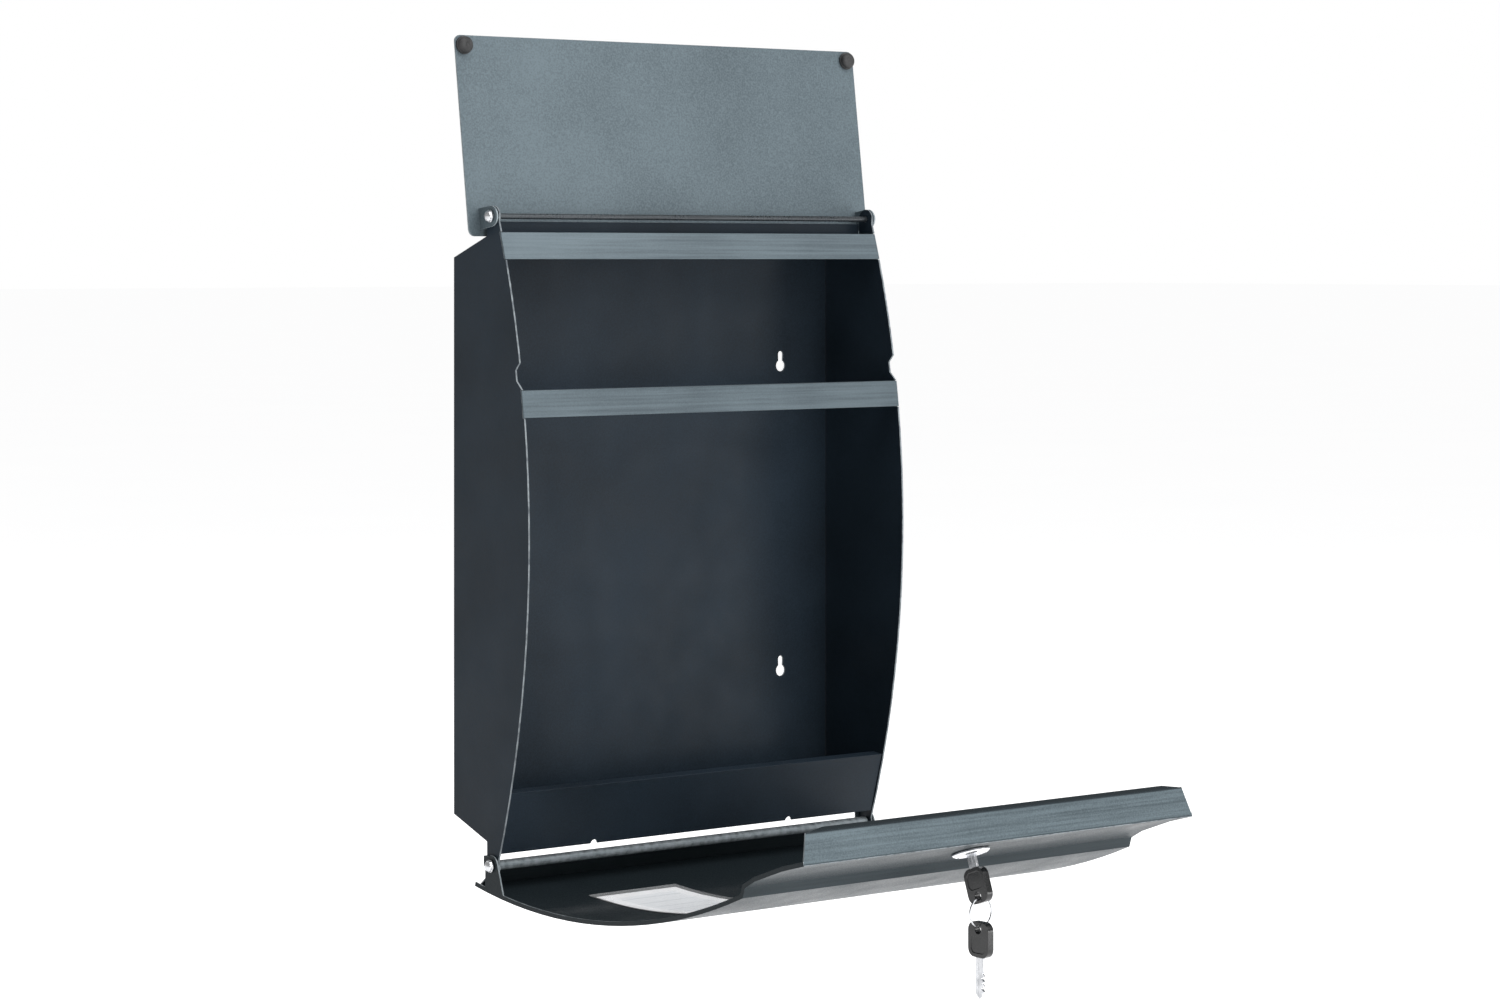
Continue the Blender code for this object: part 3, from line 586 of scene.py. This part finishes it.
def slab(outline: list[Point2], thickness: float) -> bmesh.types.BMesh:
    """Give a (y, z) outline a thickness along X, centred on X = 0.

    Args:
        outline: Points in order round the outline.
        thickness: The slab's thickness.

    Returns:
        The closed mesh.
    """
    mesh = bmesh.new()
    near, far = ([mesh.verts.new((x, y, z)) for y, z in outline] for x in (-thickness / 2, thickness / 2))
    mesh.faces.new(near)
    mesh.faces.new(far[::-1])
    for index in range(len(outline)):
        after = (index + 1) % len(outline)
        mesh.faces.new((near[index], far[index], far[after], near[after]))
    bmesh.ops.recalc_face_normals(mesh, faces=mesh.faces)
    return mesh


def rounded_box(width: float, low: float, high: float, corner: float, steps: int = 6) -> list[Point2]:
    """Outline of a rectangle with round corners, centred across.

    Args:
        width: Full width.
        low: Lower edge.
        high: Upper edge.
        corner: Corner radius.
        steps: Number of segments round each corner.

    Returns:
        Points in order round the outline.
    """
    half = width / 2
    corners = ((half - corner, low + corner, 270), (half - corner, high - corner, 0),
               (corner - half, high - corner, 90), (corner - half, low + corner, 180))
    outline = []
    for across, up, start in corners:
        for step in range(steps + 1):
            angle = math.radians(start + 90 * step / steps)
            outline.append((across + corner * math.cos(angle), up + corner * math.sin(angle)))
    return outline


def shade(mesh: bpy.types.Mesh, angle: float = CREASE) -> None:
    """Smooth a mesh, with creases where faces meet at more than angle degrees."""
    mesh.shade_smooth()
    mesh.set_sharp_from_angle(angle=math.radians(angle))


def settle(piece: bpy.types.Object) -> None:
    """Apply a piece's modifiers to its mesh."""
    graph = bpy.context.evaluated_depsgraph_get()
    fixed = bpy.data.meshes.new_from_object(piece.evaluated_get(graph))
    piece.modifiers.clear()
    piece.data = fixed


def mesh_piece(mesh: bmesh.types.BMesh, name: str, place: Matrix = Matrix.Identity(4)) -> bpy.types.Object:
    """Make an object from a mesh that was built about the origin.

    Args:
        mesh: The mesh, which is freed.
        name: The piece's name.
        place: Where the mesh goes.

    Returns:
        The new object, at the origin, with its place in its mesh.
    """
    bmesh.ops.transform(mesh, matrix=place, verts=mesh.verts)
    data = bpy.data.meshes.new(name)
    mesh.to_mesh(data)
    mesh.free()
    shade(data)
    piece = bpy.data.objects.new(name, data)
    bpy.context.scene.collection.objects.link(piece)
    return piece


def carve(piece: bpy.types.Object, cutter: bmesh.types.BMesh) -> None:
    """Subtract a closed mesh from a piece.

    Args:
        piece: The piece to cut.
        cutter: The mesh to take away, which is freed.
    """
    tool = mesh_piece(cutter, f"{piece.name}_cutter")
    modifier = piece.modifiers.new("cut", "BOOLEAN")
    modifier.operation = "DIFFERENCE"
    modifier.object = tool
    bpy.context.view_layer.update()
    settle(piece)
    bpy.data.objects.remove(tool)


def round_edges(piece: bpy.types.Object, radius: float, segments: int = 2, angle: float = CREASE) -> None:
    """Round a piece's sharp edges, and shade it so that flat faces stay flat.

    Args:
        piece: The piece.
        radius: Edge radius in metres.
        segments: Faces across each rounded edge.
        angle: Edges sharper than this many degrees are rounded.
    """
    bevel = piece.modifiers.new("edges", "BEVEL")
    bevel.width = radius
    bevel.segments = segments
    bevel.limit_method = "ANGLE"
    bevel.angle_limit = math.radians(angle)
    bpy.context.view_layer.update()
    settle(piece)
    shade(piece.data, FLOWING)
    weighted = piece.modifiers.new("normals", "WEIGHTED_NORMAL")
    weighted.keep_sharp = True
    weighted.weight = 100
    bpy.context.view_layer.update()
    settle(piece)


def sheet_copy(node: str, name: str, radius: float, thin: float = 1.7 * MM) -> bpy.types.Object:
    """Copy a CAD sheet part, mark its cut edges and round them.

    Args:
        node: The CAD node.
        name: Name of the new piece.
        radius: Edge radius in metres.
        thin: A face narrower than this counts as a cut edge.

    Returns:
        The new piece.
    """
    mesh = bmesh.new()
    mesh.from_mesh(frame["nodes"][node].data)
    bmesh.ops.remove_doubles(mesh, verts=mesh.verts, dist=0.01 * MM)
    bmesh.ops.dissolve_limit(mesh, angle_limit=math.radians(0.4), verts=mesh.verts, edges=mesh.edges)
    # Thin faces are the sheet's cut edges; the coats paint a highlight line on them.
    rim = mesh.faces.layers.float.new("rim")
    for face in mesh.faces:
        longest = max(edge.calc_length() for edge in face.edges)
        face[rim] = 1.0 if face.calc_area() / longest < thin else 0.0
    piece = mesh_piece(mesh, name)
    round_edges(piece, radius)
    return piece


def dress(piece: bpy.types.Object, finish: bpy.types.Material, body: Body, slot: Slot, *nodes: str) -> None:
    """Give a piece its finish, its body and the CAD nodes that it stands for.

    Args:
        piece: The piece.
        finish: Its material.
        body: The body that it rides on.
        slot: The record's slot for its finish; not used.
        nodes: CAD nodes that it replaces.
    """
    piece.data.materials.clear()
    piece.data.materials.append(finish)
    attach(piece, body.value)
    if nodes:
        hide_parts(*nodes)
    LOG.info("%s rides on %s", piece.name, body.value)


def joint(name: str) -> dict:
    """The frame's joint of that name."""
    return next(entry for entry in frame["joints"] if entry["name"] == name)


def stand(origin: Vector, up: Vector) -> Matrix:
    """Place whose Z runs along up and whose X stays the world's X.

    Args:
        origin: The place's origin.
        up: Direction of its Z.

    Returns:
        The matrix.
    """
    side = Vector((1, 0, 0))
    place = Matrix((side, up.cross(side), up)).transposed().to_4x4()
    place.translation = origin
    return place


def reach_along(node: str, place: Matrix) -> tuple[float, float, float]:
    """Measure a CAD node along a place's Z.

    Args:
        node: The CAD node.
        place: The place to measure in.

    Returns:
        Its lowest and highest point along Z, and its largest radius from that axis.
    """
    inverse = place.inverted()
    points = [inverse @ vertex.co for vertex in frame["nodes"][node].data.vertices]
    heights = [point.z for point in points]
    return min(heights), max(heights), max(math.hypot(point.x, point.y) for point in points)


# ---- sub-assemblies -------------------------------------------------------------------------

@dataclass
class SteelCase:
    """The fixed box: back, sides, roof, floor, two cross bars and the apron."""

    edge_radius: float = 0.32 * MM
    plain: tuple[str, ...] = ("back_panel", "side_panel_left", "side_panel_right", "roof_panel",
                              "floor_panel", "apron")
    bars: tuple[str, ...] = ("upper_bar", "middle_bar")
    coat: PowderCoat = PowderCoat("case_powder_coat", (0.006, 0.01, 0.0145), (0.0145, 0.024, 0.035),
                                  (0.2, 0.225, 0.24), gloss=0.15, metallic=0.0)
    # The bars share the case's paint; their paler coat is painted light for the light that they catch.
    bar_coat: PowderCoat = PowderCoat("bar_powder_coat_painted_lit", (0.056, 0.074, 0.086), (0.098, 0.127, 0.144),
                                      (0.24, 0.275, 0.295), contrast=0.35, streak=Streak.ALONG_X,
                                      rough=(0.36, 0.5), metallic=0.3)

    def build(self) -> None:
        """Make every panel of the box."""
        for nodes, coat, slot in ((self.plain, self.coat, Slot.CASE_COAT),
                                  (self.bars, self.bar_coat, Slot.BAR_COAT)):
            finish = coat.build()
            for node in nodes:
                dress(sheet_copy(node, f"{node}_sheet", self.edge_radius), finish, Body.CASE, slot, node)


@dataclass
class HingeRod:
    """A hinge rod with a domed push-on cap at each end."""

    node: str
    finish: bpy.types.Material
    cap_finish: bpy.types.Material
    chamfer: float = 0.6 * MM
    cap_lobes: int = 6
    lobe_depth: float = 0.08
    dome_width: float = 0.86
    dome_start: float = 0.42

    def build(self) -> None:
        """Make the rod and its two caps."""
        low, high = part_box(self.node)
        radius = (high.z - low.z) / 2
        middle = (low + high) / 2
        length = high.x - low.x
        inner = radius - self.chamfer
        profile = [(0, 0), (inner, 0), (radius, self.chamfer), (radius, length - self.chamfer),
                   (inner, length), (0, length)]
        place = Matrix.Translation((low.x, middle.y, middle.z)) @ Matrix.Rotation(math.pi / 2, 4, "Y")
        rod = mesh_piece(turned(profile, 32), f"{self.node}_bar", place)
        dress(rod, self.finish, Body.CASE, Slot.ROD_COAT, self.node)
        for word, side in (("left", -1), ("right", 1)):
            self.build_cap(f"{self.node}_cap_{word}", side)

    def build_cap(self, node: str, side: int) -> None:
        """Make one push-on cap.

        Args:
            node: The CAD cap that it stands for.
            side: -1 for the left end, 1 for the right end.
        """
        low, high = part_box(node)
        radius, length = (high.z - low.z) / 2, high.x - low.x
        middle = (low + high) / 2
        start = low.x if side > 0 else high.x
        dome = arc_profile(radius * self.dome_width, length * self.dome_start, length, (0, 18, 36, 54, 72))
        profile = [(0, 0), (radius * 0.97, 0), (radius, length * 0.06), (radius, length * 0.2),
                   (radius * 0.9, length * 0.28), *dome, (0, length)]
        place = Matrix.Translation((start, middle.y, middle.z)) @ Matrix.Rotation(side * math.pi / 2, 4, "Y")
        cap = mesh_piece(turned(profile, 48, self.cap_lobes, self.lobe_depth), f"{node}_dome", place)
        dress(cap, self.cap_finish, Body.CASE, Slot.ZINC, node)


@dataclass
class SwingLid:
    """The lid sheet with its hinge lugs, and two rubber bumpers."""

    rubber: bpy.types.Material
    edge_radius: float = 0.36 * MM
    waist: float = 0.93
    collar_top: float = 0.45
    crown_width: float = 0.25
    # The lid shares the case's paint; its paler coat is painted light for the light that it catches.
    coat: PowderCoat = PowderCoat("lid_powder_coat_painted_lit", (0.053, 0.071, 0.082), (0.1, 0.13, 0.147),
                                  (0.24, 0.275, 0.295), grain=1.15 * MM, contrast=0.75, rough=(0.38, 0.54),
                                  metallic=0.3)

    def build(self) -> None:
        """Make the lid and its bumpers."""
        lid = sheet_copy("lid_panel", "lid_sheet", self.edge_radius)
        dress(lid, self.coat.build(), Body.LID, Slot.LID_COAT, "lid_panel")
        tilt = self.lean()
        for node in ("lid_bumper_left", "lid_bumper_right"):
            self.build_bumper(node, tilt)

    def lean(self) -> Vector:
        """Direction in which the lid's inner face looks.

        Returns:
            The unit normal of the inner face.
        """
        panel = frame["nodes"]["lid_panel"].data
        face = max(panel.polygons, key=lambda polygon: polygon.area)
        normal = Vector(face.normal)
        return -normal if normal.y > 0 else normal

    def build_bumper(self, node: str, normal: Vector) -> None:
        """Make one bumper: a collar, a dome and a moulding dimple.

        Args:
            node: The CAD bumper that it stands for.
            normal: Direction in which the bumper stands.
        """
        low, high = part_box(node)
        place = stand((low + high) / 2, normal)
        bottom, top, radius = reach_along(node, place)
        height = top - bottom
        waist = radius * self.waist
        shoulder = bottom + height * self.collar_top
        dome = arc_profile(waist * (1 - self.crown_width), shoulder, top, (15, 32, 50, 68),
                           waist * self.crown_width)
        profile = [(0, bottom), (radius, bottom), (radius, bottom + height * 0.22),
                   (waist, bottom + height * 0.28), (waist, shoulder), *dome,
                   (radius * 0.3, top - height * 0.02), (radius * 0.2, top - height * 0.1),
                   (0, top - height * 0.12)]
        bumper = mesh_piece(turned(profile), f"{node}_dome", place)
        dress(bumper, self.rubber, Body.LID, Slot.RUBBER, node)


@dataclass
class DropDoor:
    """The bowed door, with its lock band and ledge."""

    edge_radius: float = 0.3 * MM
    # The door shares the case's paint; its paler coat is painted light for the light that the ledge catches.
    coat: DoorCoat = DoorCoat("door_powder_coat_painted_light", (0.048, 0.064, 0.073), (0.104, 0.134, 0.15),
                              (0.2, 0.225, 0.24), streak=Streak.ALONG_X, rough=(0.36, 0.52), gloss=0.15)
    # How far the bowed face is painted towards the lit coat; the rest is painted shade.
    face_lit_share: float = 0.2
    up_limit: float = 0.9
    out_limit: float = -0.25
    level: float = 0.05 * MM

    def build(self) -> None:
        """Make the door sheet, with painted light and shade: pale on the ledge, darker on the bowed face and
        black inside the door.
        """
        door = sheet_copy("door_panel", "door_sheet", self.edge_radius)
        swing = joint("door_hinge")
        shut = Matrix.Rotation(math.radians(min(swing["range_deg"])), 3, Vector(swing["axis"]))
        self.mark_painted_light(door.data, shut)
        # Painted shade lines run along the ledge's two bends.
        coat = replace(self.coat, bends=self.ledge_bends(shut))
        dress(door, coat.build(), Body.DOOR, Slot.DOOR_COAT, "door_panel")

    def mark_painted_light(self, mesh: bpy.types.Mesh, shut: Matrix) -> None:
        """Mark how lit each face is painted, from where it looks when the door is shut: fully on faces that
        look up, a small share on faces that look out, not at all on the rest.

        Args:
            mesh: The door sheet at rest, open.
            shut: Turn that shuts the door.
        """
        marks = mesh.attributes.new("painted_lit_share", "FLOAT", "FACE")
        for face, mark in zip(mesh.polygons, marks.data):
            normal = shut @ face.normal
            if normal.z > self.up_limit:
                mark.value = 1.0
            elif normal.y < self.out_limit:
                mark.value = self.face_lit_share

    def ledge_bends(self, shut: Matrix) -> tuple[tuple[float, float, float], ...]:
        """Find the ledge's front and rear bends, its top face's first and last points.

        Args:
            shut: Turn that shuts the door.

        Returns:
            One point on each bend, with the door open.
        """
        points = [vertex.co for vertex in frame["nodes"]["door_panel"].data.vertices]
        top = max((shut @ point).z for point in points)
        ledge = sorted((point for point in points if (shut @ point).z > top - self.level),
                       key=lambda point: (shut @ point).y)
        return tuple(ledge[0]), tuple(ledge[-1])


@dataclass
class NameCardHolder:
    """A card with a pale panel and ruled lines under a clear sleeve, inside the door."""

    stock: CardStock = CardStock("name_card_stock")
    film: ClearFilm = ClearFilm("clear_sleeve_film")
    card_edge: float = 0.1 * MM
    film_edge: float = 0.12 * MM

    def build(self) -> None:
        """Make the card and the sleeve."""
        card = sheet_copy("name_card", "name_card_sheet", self.card_edge)
        self.measure(card)
        dress(card, self.stock.build(), Body.DOOR, Slot.CARD, "name_card")
        sleeve = sheet_copy("card_sleeve", "card_sleeve_film", self.film_edge)
        dress(sleeve, self.film.build(), Body.DOOR, Slot.SLEEVE, "card_sleeve")

    def measure(self, card: bpy.types.Object) -> None:
        """Write on each point of the card how far across and along the card it lies, 0 to 1.

        Args:
            card: The card.
        """
        low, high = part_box("name_card")
        for name, axis in (("card_u", 0), ("card_v", 1)):
            values = card.data.attributes.new(name, "FLOAT", "POINT")
            size = high[axis] - low[axis]
            values.data.foreach_set("value", [(v.co[axis] - low[axis]) / size for v in card.data.vertices])


@dataclass
class CamLock:
    """The cam lock: flanged chrome barrel with a cut thread, plug, nut, cam and screw."""

    chrome: bpy.types.Material
    zinc: bpy.types.Material
    thread_pitch: float = 1.0 * MM
    thread_depth: float = 0.35 * MM
    clearance: float = 0.3 * MM
    bevel: float = 0.4 * MM
    largest_barrel: float = 8 * MM
    place: Matrix = field(init=False)

    def __post_init__(self) -> None:
        """Find the lock's axis from its joint."""
        turn = joint("lock_turn")
        self.place = stand(Vector(turn["pos_m"]), Vector(turn["axis"]).normalized())

    def build(self) -> None:
        """Make every piece of the lock."""
        self.build_barrel()
        plug = sheet_copy("lock_plug", "lock_plug_turned", 0.16 * MM, 0.0)
        dress(plug, self.chrome, Body.LOCK_CORE, Slot.CHROME, "lock_plug")
        nut = sheet_copy("lock_nut", "lock_nut_hexagon", 0.5 * MM, 0.0)
        dress(nut, self.zinc, Body.DOOR, Slot.ZINC, "lock_nut")
        cam = sheet_copy("lock_cam", "lock_cam_plate", 0.25 * MM, 0.0)
        dress(cam, self.zinc, Body.LOCK_CORE, Slot.ZINC, "lock_cam")
        self.build_screw()

    def build_barrel(self) -> None:
        """Make the flange with its stepped rim, and the threaded barrel behind it."""
        bottom, top, flange = reach_along("lock_barrel", self.place)
        nut_radius = reach_along("lock_nut", self.place)[2]
        plug = reach_along("lock_plug", self.place)[2]
        bore = plug + self.clearance
        seat = self.clearance
        barrel = min(nut_radius - 3 * MM, self.largest_barrel)
        bevel = self.bevel
        profile = [(bore, bottom + bevel), (bore + bevel, bottom), (barrel - 0.5 * MM, bottom)]
        turns = int((seat - bottom - 2 * MM) / self.thread_pitch)
        for index in range(turns):
            height = bottom + 0.5 * MM + index * self.thread_pitch
            profile += [(barrel - self.thread_depth, height), (barrel, height + self.thread_pitch * 0.5)]
        rise = top - seat
        groove = top - 0.35 * MM
        profile += [(barrel - self.thread_depth, seat - 0.5 * MM), (barrel, seat),
                    (flange - 0.3 * MM, seat), (flange, seat + 0.3 * MM), (flange, seat + rise * 0.42),
                    (flange - 0.5 * MM, seat + rise * 0.62), (flange - 1.7 * MM, seat + rise * 0.92),
                    (flange - 2.5 * MM, top), (flange * 0.66, top),
                    (flange * 0.62, groove), (flange * 0.57, groove), (flange * 0.53, top),
                    (bore + bevel, top), (bore, top - bevel)]
        barrel_piece = mesh_piece(turned(profile, 64), "lock_barrel_turned", self.place)
        dress(barrel_piece, self.chrome, Body.DOOR, Slot.CHROME, "lock_barrel")

    def build_screw(self) -> None:
        """Make the cam's pan-head screw with its cross recess."""
        bottom, top, radius = reach_along("cam_screw", self.place)
        height = top - bottom
        profile = [(0, bottom), (radius * 0.45, bottom + height * 0.04),
                   (radius * 0.78, bottom + height * 0.18), (radius * 0.96, bottom + height * 0.45),
                   (radius, bottom + height * 0.6), (radius, top), (0, top)]
        screw = mesh_piece(turned(profile, 32), "cam_screw_pan_head", self.place)
        for turn in (0, math.pi / 2):
            arm = slab([(-radius * 0.55, bottom - 1 * MM), (radius * 0.55, bottom - 1 * MM),
                        (radius * 0.45, bottom + height * 0.5), (-radius * 0.45, bottom + height * 0.5)],
                       radius * 0.24)
            bmesh.ops.transform(arm, matrix=self.place @ Matrix.Rotation(turn, 4, "Z"), verts=arm.verts)
            carve(screw, arm)
        shade(screw.data)
        dress(screw, self.zinc, Body.LOCK_CORE, Slot.ZINC, "cam_screw")


@dataclass
class Key:
    """A flat key: cut and grooved blade with a moulded head."""

    prefix: str
    body: Body
    hole: Vector
    up: Vector
    steel: bpy.types.Material
    plastic: bpy.types.Material
    gap: float = 0.3 * MM
    hole_radius: float = 2.6 * MM
    groove: float = 0.35 * MM
    recess: float = 0.45 * MM
    panel_margin: float = 2.4 * MM
    hole_wall: float = 1.4 * MM
    bites: int = 5

    def build(self) -> None:
        """Make the key's blade and head."""
        head_low, head_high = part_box("spare_key_head")
        blade_low, blade_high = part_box("spare_key_blade")
        hole_rise = joint("spare_key_swing")["pos_m"][2] - (head_low.z - self.gap)
        place = stand(self.hole - self.up * hole_rise, self.up)
        self.build_blade(place, blade_high - blade_low)
        self.build_head(place, head_high - head_low, hole_rise)

    def build_blade(self, place: Matrix, size: Vector) -> None:
        """Make the blade, with its bitting on one edge and a milled groove in each face.

        Args:
            place: The key's place.
            size: Thickness, width and length of the blade.
        """
        half, length = size.y / 2, size.z
        pitch = length * 0.12
        outline = [(half, 0.0), (half, half - length), (half * 0.3, -length),
                   (-half * 0.6, half * 0.6 - length)]
        for bite in range(self.bites):
            foot = half - length + bite * pitch
            root = -half * (0.35 if bite % 2 else 0.6)
            outline += [(root, foot), (root, foot + pitch * 0.22), (-half, foot + pitch / 2)]
        outline.append((-half, 0.0))
        blade = mesh_piece(slab(outline, size.x), f"{self.prefix}_blade_cut", place)
        for side in (-1, 1):
            mill = slab([(half * 0.15, -length - half), (half * 0.55, -length - half), (half * 0.55, -half),
                         (half * 0.15, -half)], self.groove * 2)
            shift = place @ Matrix.Translation((side * size.x / 2, 0, 0))
            bmesh.ops.transform(mill, matrix=shift, verts=mill.verts)
            carve(blade, mill)
        round_edges(blade, 0.12 * MM, 1)
        dress(blade, self.steel, self.body, Slot.ZINC, f"{self.prefix}_blade")

    def build_head(self, place: Matrix, size: Vector, hole_rise: float) -> None:
        """Make the moulded head: soft rim, sunk panel on both faces and a ring hole.

        Args:
            place: The key's place.
            size: Thickness, width and length of the head.
            hole_rise: Height of the hole's centre above the blade's shoulder.
        """
        corner = size.y * 0.3
        outline = rounded_box(size.y, self.gap, self.gap + size.z, corner)
        head = mesh_piece(slab(outline, size.x), f"{self.prefix}_head_moulding", place)
        rim = self.hole_radius
        bore = turned([(0, -size.x), (rim, -size.x), (rim, size.x), (0, size.x)], 32)
        across = Matrix.Translation((0, 0, hole_rise)) @ Matrix.Rotation(math.pi / 2, 4, "Y")
        bmesh.ops.transform(bore, matrix=place @ across, verts=bore.verts)
        carve(head, bore)
        margin = self.panel_margin
        sunk = rounded_box(size.y - 2 * margin, self.gap + margin, hole_rise - rim - self.hole_wall,
                           corner * 0.6)
        for side in (-1, 1):
            panel = slab(sunk, self.recess * 2)
            shift = place @ Matrix.Translation((side * size.x / 2, 0, 0))
            bmesh.ops.transform(panel, matrix=shift, verts=panel.verts)
            carve(head, panel)
        round_edges(head, 0.32 * MM, 2)
        dress(head, self.plastic, self.body, Slot.KEY_PLASTIC, f"{self.prefix}_head")


@dataclass
class SplitRing:
    """A split ring: two turns of wire side by side."""

    steel: bpy.types.Material
    turns: float = 2.0
    steps: int = 40
    start: float = 35.0
    spread: float = 0.52

    def build(self) -> None:
        """Make the ring as one coiled wire."""
        low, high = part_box("key_ring")
        depth = high.y - low.y
        wire = depth / 4
        radius = (high.x - low.x) / 2 - depth / 2
        centre = (low + high) / 2
        count = int(self.turns * self.steps)
        curve = bpy.data.curves.new("key_ring_wire", "CURVE")
        curve.dimensions = "3D"
        curve.bevel_depth = wire
        curve.bevel_resolution = 4
        curve.use_fill_caps = True
        line = curve.splines.new("POLY")
        line.points.add(count)
        for index, point in enumerate(line.points):
            share = index / count
            angle = math.radians(self.start) + 2 * math.pi * self.turns * share
            point.co = (centre.x + radius * math.cos(angle), centre.y + (share - 0.5) * depth * self.spread,
                        centre.z + radius * math.sin(angle), 1)
        coil = bpy.data.objects.new("key_ring_wire", curve)
        bpy.context.scene.collection.objects.link(coil)
        bpy.context.view_layer.update()
        mesh = bpy.data.meshes.new_from_object(coil.evaluated_get(bpy.context.evaluated_depsgraph_get()))
        bpy.data.objects.remove(coil)
        shade(mesh, FLOWING)
        ring = bpy.data.objects.new("key_ring_coil", mesh)
        bpy.context.scene.collection.objects.link(ring)
        dress(ring, self.steel, Body.RING, Slot.ZINC, "key_ring")


@dataclass(frozen=True)
class SoftBox:
    """A square soft box: where it hangs, its side in metres and its power in watts."""

    name: str
    spot: tuple[float, float, float]
    size: float
    power: float

    def hang(self) -> None:
        """Hang the soft box so that it looks at the mailbox."""
        data = bpy.data.lights.new(self.name, "AREA")
        data.shape = "SQUARE"
        data.size = self.size
        data.energy = self.power
        light = bpy.data.objects.new(self.name, data)
        light.location = self.spot
        light.rotation_euler = (-Vector(self.spot)).to_track_quat("-Z", "Y").to_euler()
        bpy.context.scene.collection.objects.link(light)


@dataclass
class Studio:
    """Pale floor, soft lights, white surround and the camera."""

    eye: Vector = field(default_factory=lambda: Vector((-1.5259, -1.9717, 0.1706)))
    heading: float = 39.25
    lens: float = 93.6
    sensor: float = 36.0
    drop: float = -0.1613
    floor_gap: float = 0.3
    floor_size: float = 160.0
    surround: float = 1.0
    ambient: float = 0.42
    lights: tuple[SoftBox, ...] = (
        SoftBox("key_light", (0.9, -2.6, 2.3), 2.4, 95), SoftBox("front_fill", (-0.3, -3.2, 0.2), 2.2, 28),
        SoftBox("back_light", (0.8, 2.4, 1.9), 2.2, 40), SoftBox("top_light", (-0.5, -1.1, 2.5), 1.2, 26),
        SoftBox("edge_light", (2.0, -2.6, -0.25), 0.8, 12))

    def build(self) -> None:
        """Make the floor, the lights, the surround and the camera."""
        self.build_floor()
        self.build_surround()
        for light in self.lights:
            light.hang()
        self.build_camera()

    def build_floor(self) -> None:
        """Make the floor below the mailbox."""
        height = CAD_BOX[0][2] - self.floor_gap
        bpy.ops.mesh.primitive_plane_add(size=self.floor_size, location=(0, 0, height))
        floor = bpy.context.object
        floor.name = "studio_floor"
        floor.data.materials.append(StudioFloor().build())

    def build_surround(self) -> None:
        """Make an even white surround."""
        world = bpy.data.worlds.new("white_surround")
        world.use_nodes = True
        tree = world.node_tree
        sky = tree.nodes["Background"]
        sky.inputs["Color"].default_value = (1, 1, 1, 1)
        seen = tree.nodes.new("ShaderNodeMapRange")
        seen.inputs["To Min"].default_value = self.ambient
        seen.inputs["To Max"].default_value = self.surround
        tree.links.new(tree.nodes.new("ShaderNodeLightPath").outputs["Is Camera Ray"], seen.inputs["Value"])
        tree.links.new(seen.outputs["Result"], sky.inputs["Strength"])
        bpy.context.scene.world = world
        bpy.context.scene.view_settings.view_transform = "Standard"

    def build_camera(self) -> None:
        """Set up the level camera, with its frame shifted down."""
        data = bpy.data.cameras.new("studio_camera")
        data.lens = self.lens
        data.sensor_width = self.sensor
        data.shift_y = self.drop
        camera = bpy.data.objects.new("studio_camera", data)
        camera.location = self.eye
        camera.rotation_euler = (math.pi / 2, 0, -math.radians(self.heading))
        bpy.context.scene.collection.objects.link(camera)
        bpy.context.scene.camera = camera


def main() -> None:
    """Build the mailbox from the box outwards, then the studio."""
    logging.basicConfig(level=logging.INFO, format="%(name)s: %(message)s")
    zinc = BrushedZinc("zinc_plate").build()
    zinc_across = BrushedZinc("zinc_plate_across", streak=Streak.ALONG_X).build()
    chrome = ChromePlate("lock_chrome_plate").build()
    rubber = MouldedBlack("bumper_rubber", rough=(0.55, 0.75), rubbed=(0.03, 0.03, 0.031)).build()
    plastic = MouldedBlack("key_head_plastic", relief_depth=0.025 * MM).build()
    rod_coat = PowderCoat("rod_dark_coat", (0.014, 0.017, 0.02), (0.04, 0.047, 0.053), (0.2, 0.21, 0.22),
                          streak=Streak.ALONG_X, rough=(0.24, 0.36), metallic=0.4, gloss=0.5).build()
    SteelCase().build()
    HingeRod("lid_rod", rod_coat, zinc).build()
    HingeRod("door_rod", rod_coat, zinc).build()
    SwingLid(rubber).build()
    DropDoor().build()
    NameCardHolder().build()
    lock = CamLock(chrome, zinc_across)
    lock.build()
    out = lock.place.to_3x3() @ Vector((0, 0, 1))
    Key("key", Body.LOCK_CORE, Vector(joint("ring_swing")["pos_m"]), out, zinc, plastic).build()
    Key("spare_key", Body.SPARE_KEY, Vector(joint("spare_key_swing")["pos_m"]), Vector((0, 0, 1)), zinc,
        plastic).build()
    SplitRing(zinc).build()
    Studio().build()


if __name__ == "__main__":
    main()
